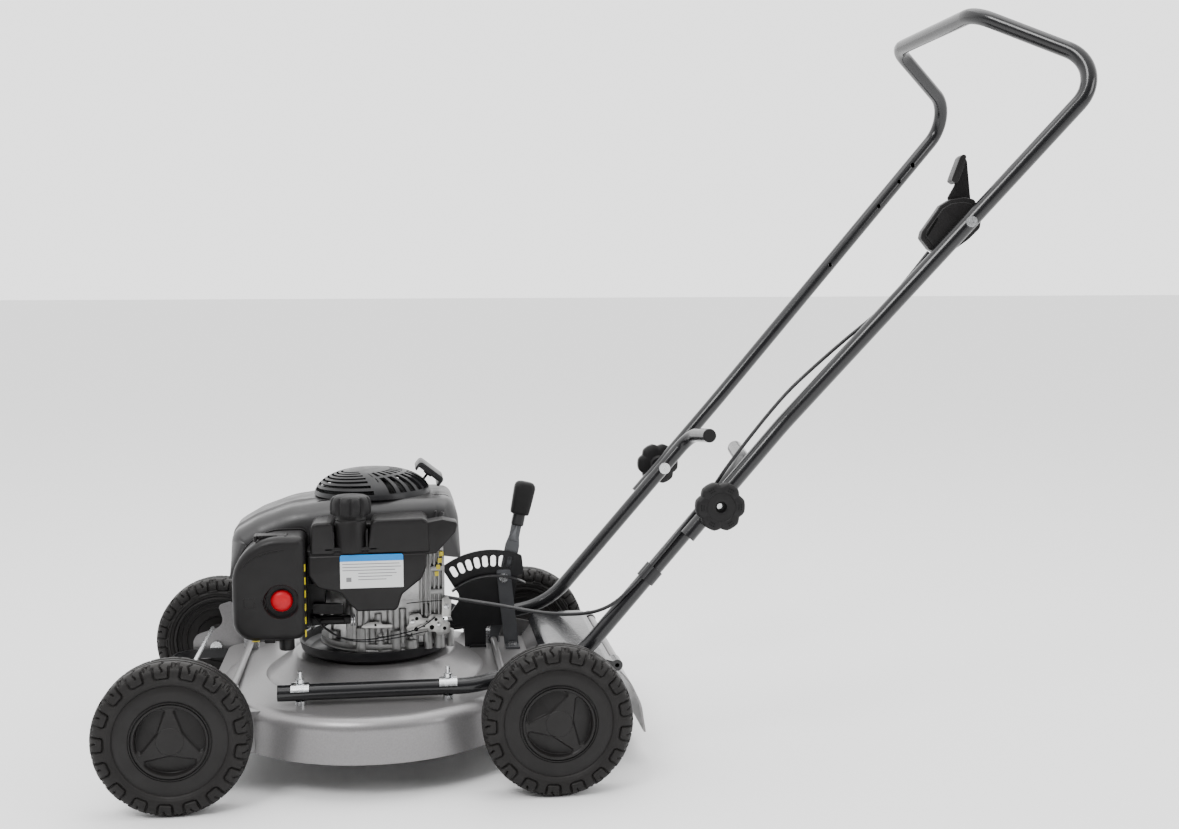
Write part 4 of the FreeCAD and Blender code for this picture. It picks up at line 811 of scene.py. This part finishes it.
def build_filter():
    """Air-filter cover with a turned-over edge, a crease, and the recess of the primer."""
    low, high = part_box("air_filter_cover")
    face, back = low.y / MM, high.y / MM
    px, _, pz = to_mm(middle("primer_bulb"))
    outline = evenly(rounded([(68, 197, 28), (165, 197, 15), (165, 337, 11), (68, 337, 62)], 14),
        240)
    count = len(outline)
    normals = []
    for i in range(count):
        way = (outline[(i + 1) % count] - outline[i - 1]).normalized()
        normals.append(Vector((-way.y, way.x)))

    def ring(inset, y):
        return [(p.x + n.x * inset, y, p.y + n.y * inset) for p, n in zip(outline, normals)]

    rings = [ring(0.8, back), ring(0.8, face + 24), ring(0, face + 23), ring(0, face + 12)]
    for k in range(1, 7):
        turn = pi / 2 * k / 6
        rings.append(ring(10 * (1 - cos(turn)), face + 12 - 10.5 * sin(turn)))
    rim_y = rings[-1][0][1]
    edge = rings[-1]
    for share in (0.25, 0.5, 0.75, 1):
        inner = []
        for i, point in enumerate(edge):
            angle = atan2(point[2] - pz, point[0] - px)
            target = Vector((px + PRIMER_WELL * cos(angle), pz + PRIMER_WELL * sin(angle)))
            here = Vector((point[0], point[2]))
            mixed = here.lerp(target, share)
            inner.append((mixed.x, rim_y - 0.6 * sin(pi * min(share, 0.9)), mixed.y))
        rings.append(inner)
    bearings = [atan2(p[2] - pz, p[0] - px) for p in rings[-1]]
    for radius, y in ((23.4, rim_y + 0.4), (22.6, rim_y + 2.5), (21.4, face + 12),
            (16.5, face + 13)):
        rings.append([(px + radius * cos(a), y, pz + radius * sin(a)) for a in bearings])
    piece("filter_cover", ring_mesh(rings, cap_end=True), "plastic", replaces=["air_filter_cover"],
        crease=30)
    ridge_path = [(72, face + 10, 262), (76, face + 3, 286), (88, face + 1.4, 306),
        (108, face + 0.8, 317), (134, face + 0.8, 321), (163, face + 6, 323)]
    latch = merged(
        block(98, 140, face + 22, face + 44, 332, 337.4),
        block(108, 128, face + 20, face + 30, 334, 338),
        block(97, 101, face + 16, face + 40, 330, 338),
        block(137, 141, face + 16, face + 40, 330, 338))
    stub = turned([(1, 178), (9.5, 178), (10.5, 181), (10.5, 198), (1, 198)], (137, face + 30, 0),
        steps=32)
    foot = block(108, 122, face + 22, face + 38, 189, 198)
    crease_line = wire_mesh(smooth_path(ridge_path), 1.1, 8)
    piece("filter_trim", [latch, stub, foot], "plastic", bevel=1.2)
    piece("filter_crease", crease_line, "plastic")
    bulb_profile = [(0.2, 3.2), (6, 3.4), (10, 4.4), (13, 6.4), (14.6, 9.5), (15, 13), (15, 17),
        (0.2, 17)]
    bulb = turned([(r, face + h) for r, h in bulb_profile], (px, 0, pz), axis="y", steps=64)
    piece("primer_button", bulb, "red", "primer", ["primer_bulb"])
    dashes = []
    for z in (200, 218, 236, 254, 272, 290):
        arc = [radians(a) for a in range(-30, -11, 6)]
        outer = [(155 + 10.35 * cos(a), face + 12 + 10.85 * sin(a)) for a in arc]
        inner = [(155 + 9.6 * cos(a), face + 12 + 10.1 * sin(a)) for a in reversed(arc)]
        dashes.append(upright(outer + inner, z, z + 9.5))
    dashes.append(block(93, 103, face + 4, face + 9, 196.6, 197.2))
    piece("service_marks", dashes, "yellow", crease=40)
    y = face + 1.25
    arcs = [wire_mesh([(103 + radius * cos(radians(a)), y, 250 + radius * sin(radians(a)))
        for a in range(-45, 46, 9)], 0.6, 8) for radius in (5, 9, 13)]
    arcs.append(wire_mesh([(84, y, 243), (98, y, 243), (98, y, 257), (84, y, 257)], 0.6, 8,
        closed=True))
    piece("primer_symbol", arcs, "plastic")


def build_label():
    """Generic two-tone label with plain rules in place of any text."""
    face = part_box("fuel_tank")[0].y / MM + 4
    x0, x1, z0, z1 = 211, 296, 263, 309
    blue_low = 300
    piece("tank_label", block(x0, x1, face - 0.35, face, z0, blue_low), "label_white", bevel=0.1,
        segments=1)
    blue = rounded([(x0, blue_low), (x1, blue_low), (x1, z1, 3), (x0, z1, 3)])
    piece("tank_label_band", extrusion(blue, face - 0.35, face), "label_blue")
    rules = [(start, end, blue_low - 4.2 - 4.3 * i, blue_low - 3.2 - 4.3 * i) for i,
        (start, end) in enumerate(((3, 80), (3, 82), (3, 74), (24, 76), (24, 70), (24, 62)))]
    rules = [block(x0 + start, x0 + end, face - 0.5, face - 0.34, low, high) for start, end, low,
        high in rules + [(8, 15, 272, 278)]]
    piece("label_rules", rules, "mark_grey")


def build_engine_details():
    """Governor plate with its perforations painted as near-black shade discs, case bosses, side
    fins, sagging control wires and caution tape.
    """
    plate = rounded([(309, 180, 2), (322, 178, 3), (327, 184, 3), (340, 183, 3), (344, 178, 3),
        (360, 181, 3), (361, 196, 3), (352, 198, 3), (350, 208, 3), (333, 209, 3), (330, 203, 3),
        (322, 204, 3), (318, 211, 3), (304, 209, 3), (303, 196, 3), (298, 190, 3)], 4)
    shelf = rounded([(232, 192, 2), (278, 190, 2), (281, 196, 2), (266, 197, 2), (262, 201, 2),
        (246, 200, 2), (240, 197, 2)], 3)
    clamp = rounded([(349, 206, 2), (362, 206, 2), (363, 232, 4), (357, 235.5, 3), (350, 234, 4)],
        4)
    parts = [extrusion(plate, -93.5, -91.7), extrusion(shelf, -93, -91),
        extrusion(clamp, -99.2, -91.5)]
    piece("governor_plate_cover", parts, "plate", "chassis", ["governor_plate"], bevel=0.5)
    # Painted shade: thin near-black discs on the plate's face stand in for the shade inside its
    # holes.
    holes = [turned([(0.05, -93.75), (r, -93.75), (r, -93.5), (0.05, -93.5)], (x, 0, z), axis="y",
        steps=18) for x, z, r in ((314, 203, 2.6), (313, 188, 3), (324, 192, 1.6), (335, 190, 3.4),
        (341, 201, 2.4), (353, 188, 2.6), (352, 202, 1.5), (328, 199, 1.2), (256, 196, 1.8))]
    piece("governor_plate_hole_shade", holes, "painted_shade")
    bolts = [
        hex_head(356, -102.2, 221, 4.2, 3.2, "y"),
        hex_head(356, -103.4, 221, 2.2, 1.4, "y", 0.3),
        hex_head(308, -97, 199, 3.6, 3.4, "y"),
        hex_head(345, -97, 194, 3.2, 3.4, "y", 0.4)]
    piece("governor_plate_bolts", bolts, "zinc", bevel=0.4)

    bosses = []
    cx, cy, _ = to_mm(middle("crankcase"))
    for x, top, radius in ((236, 192, 7), (262, 178, 6), (284, 186, 8), (306, 172, 9.5),
            (330, 184, 6), (346, 196, 8), (362, 182, 5)):
        y = -86 + 0.0016 * (x - cx) ** 2
        bosses.append(turned([(0.2, 157), (radius + 1.2, 157), (radius, 162),
            (radius * 0.94, top - 1), (radius * 0.8, top), (0.2, top)], (x, y, 0), steps=28))
    for x, top in ((306, 172), (262, 178)):
        y = -86 + 0.0016 * (x - cx) ** 2
        bosses.append(hex_head(x, y, top - 0.2, 4.6, 4.5, "z", 0.2))
    flange = turned([(84, 155.5), (93, 155.5), (93, 158), (91, 160), (84, 160)], (cx, cy, 0),
        steps=120)
    piece("case_bosses", bosses + [flange], "cast", bevel=0.6, crease=38)
    fins = [block(318, 354, -84, -40, 206, 334)]
    for k in range(6):
        x = 320 + 6 * k
        fins.append(block(x, x + 2.6, -93, -84, 208 + 2 * (k % 2), 336 - 3 * (k % 3)))
    fins += [block(334, 352, -94.5, -86, z, z + 7) for z in (238, 271, 300)]
    piece("side_fins", fins, "cast", bevel=0.9)
    tape = [block(340 + 2.3 * k, 345.5 + 2.3 * k, -95.6, -94.6, 264 + 9.4 * k, 270.4 + 9.4 * k)
        for k in range(4)]
    piece("caution_tape", tape, "yellow")
    wires = [
        wire_mesh(smooth_path([(172, -104, 214), (190, -112, 190), (232, -112, 178),
            (280, -106, 183), (322, -99, 190), (340, -98, 206)]), 0.9, 8),
        wire_mesh(smooth_path([(176, -100, 208), (200, -108, 184), (240, -110, 175),
            (286, -104, 179), (330, -98, 186)]), 0.8, 8),
        wire_mesh(smooth_path([(300, -96, 226), (320, -98, 229), (352, -98.5, 229)]), 0.7, 8)]
    piece("control_wires", wires, "jacket")
    pipe = [block(168, 222, -104, -88, 201, 212), block(180, 214, -108, -86, 203, 210)]
    piece("intake_pipe", pipe, "plastic", bevel=2, segments=3)
    clips = [wire_mesh([(224 + dx, -100 + 6.5 * cos(a), 206 + 7.5 * sin(a)) for a in angles(20)],
        0.9, 8, closed=True) for dx in (0, 3.4)]
    piece("pipe_clip", clips, "zinc")


# last bend and open end of the lower tubes
HORN = ((766, 178, 427.6), (776, 84, 436))


def build_frame_details():
    """Plugs in the ends of the lower tubes and the turned flange of the height quadrant."""
    plugs = []
    for side in (-1, 1):
        bend, end = (Vector((x, y * side, z)) for x, y, z in HORN)
        way = (end - bend).normalized()
        across = way.orthogonal().normalized()
        other = way.cross(across)
        rings = []
        for radius, along in ((9.3, -4), (9.3, 0.2), (10.7, 0.2), (10.7, 1.2), (10, 1.9),
                (0.2, 2.1)):
            rings.append([end + way * along + (across * cos(a) + other * sin(a)) * radius
                for a in angles(32)])
        plugs.append(capped(rings))
    piece("tube_plugs", plugs, "soft_black")
    px, _, pz = to_mm(JOINTS["height_adjust"]["pos_m"])
    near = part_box("height_quadrant")[0].y / MM
    rings = []
    for k in range(31):
        a = radians(62 + 66 * k / 30)
        c, s = cos(a), sin(a)
        rings.append([(px + r * c, y, pz + r * s) for r, y in ((103, near - 6.5), (105, near - 6.5),
            (106.5, near + 0.2), (102.5, near + 0.2))])
    piece("quadrant_flange", capped(rings), "dark_steel", bevel=0.5)


# --- controls
def build_throttle():
    joint = JOINTS["throttle_turn"]
    axis = Vector(joint["axis"]).normalized()
    local = oriented(joint["pos_m"], (axis.y, -axis.x, 0), (0, 0, 1))
    low, high = 11.4, 35.2
    outline = [(-62, -21, 5), (-50, -36, 4), (-30, -47, 6), (3, -23, 12), (18, -8, 8), (20, 7, 8),
        (10, 31, 7), (-4, 34, 10), (-23, 31, 8), (-36, 23, 6), (-42, 14, 4), (-60, -12, 4)]
    panel = [(-20 + 0.86 * (x + 20), -4 + 0.84 * (z + 4), r * 0.8) for x, z, r in outline]
    body = merged(extrusion(rounded(outline, 6), low + 2, high),
        extrusion(rounded(panel, 6), low, low + 3))
    piece("throttle_case", body, "plastic", "handle", replaces=["throttle_housing"], bevel=1.8,
        segments=3, transform=local)
    # Painted shade: a thin near-black strip on the case stands in for the shade inside its slit.
    slit = rounded([(-55, -17, 1), (-53, -19, 1), (-39, 5, 1), (-41, 7, 1)])
    piece("throttle_slit_shade", extrusion(slit, low - 0.3, low + 1), "painted_shade", "handle",
        transform=local)
    disc = turned([(3.2, high + 0.6), (12, high + 0.6), (13, high + 2), (13, high + 6),
        (12, high + 7.4), (3.2, high + 7.4)], (0, 0, 0), axis="y", steps=40)
    web = rounded([(-24, 30, 4), (10, 30, 3), (4, 84, 4), (0, 91.5, 3), (-6, 90, 4), (-7, 70, 16),
        (-13, 50, 10)])
    stem = rounded([(-16, 0, 8), (11, 0, 8), (9, 34), (-20, 34)])
    pad = rounded([(-21, 56.5, 3), (-19, 63, 4), (-10, 88, 4), (-6, 92, 3), (-1, 90, 3),
        (-5, 72, 12), (-13, 51.5, 3)])
    lever = merged(disc, extrusion(stem, high + 0.6, high + 6),
        extrusion(web, high + 0.5, high + 6), extrusion(pad, high - 18, high + 12))
    piece("throttle_paddle", lever, "plastic", "throttle", replaces=["throttle_lever"], bevel=1.3,
        segments=3, transform=local)


def build_knob(side_name):
    """Hand knob: six lobes with dimples painted as near-black shade dots, a collar and a blind hole
    over the bolt.
    """
    node = "knob_" + side_name
    low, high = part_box(node)
    cx, _, cz = to_mm(middle(node))
    side = SIDES[side_name]
    body = "knob_l" if side < 0 else "knob_r"
    inner = (high.y if side < 0 else low.y) / MM
    outer = (low.y if side < 0 else high.y) / MM
    depth = abs(outer - inner)
    rings = []
    for radius, along, lobe in ((4.1, 0, 0), (12, 0, 0), (14, 2, 0), (15, 5, 0), (24, 6, 0.4),
            (31, 8, 1), (33.4, 10, 1), (34, 14, 1), (33.6, depth - 5, 1), (32.6, depth - 2.4, 1),
            (30.6, depth - 0.8, 0.9), (28, depth - 0.2, 0.8), (24, depth - 0.2, 0.6),
            (20.5, depth - 0.3, 0.2), (19.5, depth - 1.4, 0), (12, depth - 1.2, 0),
            (8.8, depth - 1.2, 0), (7.9, depth - 1.8, 0), (7.6, depth - 9, 0), (4.1, depth - 9, 0)):
        ring = []
        for angle in angles(240):
            wave = 0.5 + 0.5 * cos(6 * angle)
            fill = min(1, 1.35 * wave ** 0.5)
            r = radius - lobe * 4 * (1 - fill)
            valley = 1.3 * (1 - fill) * float(smooth_step(radius, 18, 26))
            if along <= depth - 3:
                valley = 0
            ring.append((cx + r * cos(angle), inner + side * (along - valley), cz + r * sin(angle)))
        rings.append(ring)
    piece("hand_knob_" + side_name, ring_mesh(rings + [rings[0]]), "soft_black", body,
        replaces=[node], crease=34)
    # Painted shade: near-black dots on the knob's face stand in for the shade in its dimples.
    dots = []
    for lobe in range(6):
        for column, row in ((-1, 0), (0, 0), (1, 0), (-1, 1), (0, 1), (1, 1)):
            angle = 2 * pi * lobe / 6 + column * 0.11
            radius = 24 + 3.4 * row
            x, z = cx + radius * cos(angle), cz + radius * sin(angle)
            y = outer - side * 0.35
            dots.append(turned([(0.1, y), (0.75, y), (0.75, y + side * 0.4), (0.1, y + side * 0.4)],
                (x, 0, z), axis="y", steps=8))
    piece("knob_dimple_shade_" + side_name, dots, "painted_shade", body)


def oval_ring(half_x, half_y, power, height):
    """Level ring of 64 points, between an ellipse and a rectangle."""
    ring = []
    for angle in angles(64):
        c, s = cos(angle), sin(angle)
        size = (abs(c) ** power + abs(s) ** power) ** (-1 / power)
        ring.append((half_x * size * c, half_y * size * s, height))
    return ring


def build_lever():
    """Tapered grip of the height lever, its dark ferrule and its twisted flat shank."""
    low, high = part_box("lever_grip")
    y = (low.y + high.y) / 2
    axis_point = JOINTS["height_adjust"]["pos_m"]
    crest = Vector(((low.x + high.x) / 2, 0, (low.z + high.z) / 2))
    lean = atan2(crest.x - axis_point[0], crest.z - axis_point[2])
    local = oriented((axis_point[0], y, axis_point[2]), (cos(lean), 0, -sin(lean)),
        (sin(lean), 0, cos(lean)))
    rings = []
    for height, half_x, half_y, power in ((202, 0.5, 0.5, 3), (202, 12.8, 9.6, 3),
            (203, 14.2, 10.6, 3.4), (206, 14.8, 11, 3.6), (228, 16, 11.4, 3.6),
            (244, 16.6, 11.8, 3.4), (249, 15.6, 11, 3.2), (252.4, 12.6, 9.4, 3), (253.6, 9, 7, 2.8),
            (254, 4, 3, 2.5), (254, 0.3, 0.2, 2)):
        rings.append(oval_ring(half_x, half_y, power, height))
    piece("lever_handgrip", capped(rings), "soft_black", "rear_crank", replaces=["lever_grip"],
        transform=local, crease=40)
    ferrule = [oval_ring(9, 5.5, 3, 184), oval_ring(9.8, 7.4, 3, 186),
        oval_ring(9.6, 7.4, 3, 202.5)]
    neck = []
    for k in range(13):
        share = k / 12
        turn = radians(70 * sin(pi * share * 0.5))
        ring = []
        for corner_x, corner_y in ((-1, -1), (1, -1), (1, 1), (-1, 1)):
            x, y = corner_x * (7.6 + 1.4 * share), corner_y * (2.4 + 1.2 * share)
            ring.append((x * cos(turn) - y * sin(turn) * 0.5, x * sin(turn) * 0.5 + y * cos(turn),
                158 + 27 * share))
        neck.append(ring)
    piece("lever_neck", capped(neck), "grey_steel", "rear_crank", transform=local,
        bevel=0.8)
    piece("lever_ferrule", capped(ferrule), "dark_steel", "rear_crank",
        transform=local, crease=40)


# --- throttle cable
CABLE_ROUTE = [(352, -95, 234), (377, -101, 230), (432, -119, 224), (486, -143, 216.5),
    (533, -170, 219), (570, -187, 229), (603, -189.5, 254.5), (658, -189.5, 317.4),
    (684, -191.2, 350.3), (713, -193.1, 387), (740, -198, 430), (812, -199, 519),
    (854, -200, 557.5), (902, -201, 598.5), (949, -205, 636), (990, -210, 686), (1012, -214, 716)]


def build_cable():
    line = smooth_path(CABLE_ROUTE)
    start = place(676, -190, 340)
    end = place(745, -197, 425)
    piece("throttle_cable", wire_mesh(line, 2.5, 14), "jacket", ("chassis", "handle", start, end),
        ["cable_lower", "cable_upper"])


# --- carried-over nodes
def hex_head(x, y, z, radius, height, axis="z", turn=0):
    """Six-sided head from the point (x, y, z) out along y, or up along z."""
    corners = [(radius * cos(a + turn), radius * sin(a + turn)) for a in angles(6)]
    if axis == "z":
        return upright([(x + a, y + b) for a, b in corners], z, z + height)
    return extrusion([(x + a, z + b) for a, b in corners], y, y + height)


NODE_FINISH = {
    "silver": ["deck_shell", "rear_flap", "front_axle", "rear_axle"],
    "black": ["lower_handle_left", "lower_handle_right", "upper_handle", "chute_cover"],
    "dark_steel": ["front_bumper", "height_quadrant", "engine_mount_ring", "cable_clip",
        "muffler"],
    "grey_steel": ["quadrant_strap", "height_lever", "link_rod"],
    "zinc": ["flap_rod", "rod_brackets", "frame_fasteners", "tube_saddles", "saddle_bolts",
        "fold_bolts", "front_axle_bolts", "rear_axle_bolts", "throttle_bolt"],
    "cast": ["crankcase", "cylinder", "piston"],
    "plastic": ["intake_base", "recoil_pulley"],
    "foam": ["air_filter_element"],
    "iron": ["flywheel"],
    "ground": ["crankshaft", "blade", "blade_bolt", "spark_plug"],
}


def dress_nodes():
    for key, names in NODE_FINISH.items():
        for name in names:
            mesh = frame["nodes"][name].data
            mesh.materials.clear()
            mesh.materials.append(FINISHES[key])


def main():
    build_stage()
    build_finishes()
    dress_nodes()
    for end in ("front", "rear"):
        for side_name in SIDES:
            build_tyre(end, side_name)
            build_hub(end, side_name)
    for build in (build_cowl, build_recoil, build_starter, build_tank, build_filter, build_label,
            build_throttle):
        build()
    for side_name in SIDES:
        build_knob(side_name)
    build_lever()
    build_cable()
    build_engine_details()
    build_frame_details()


main()
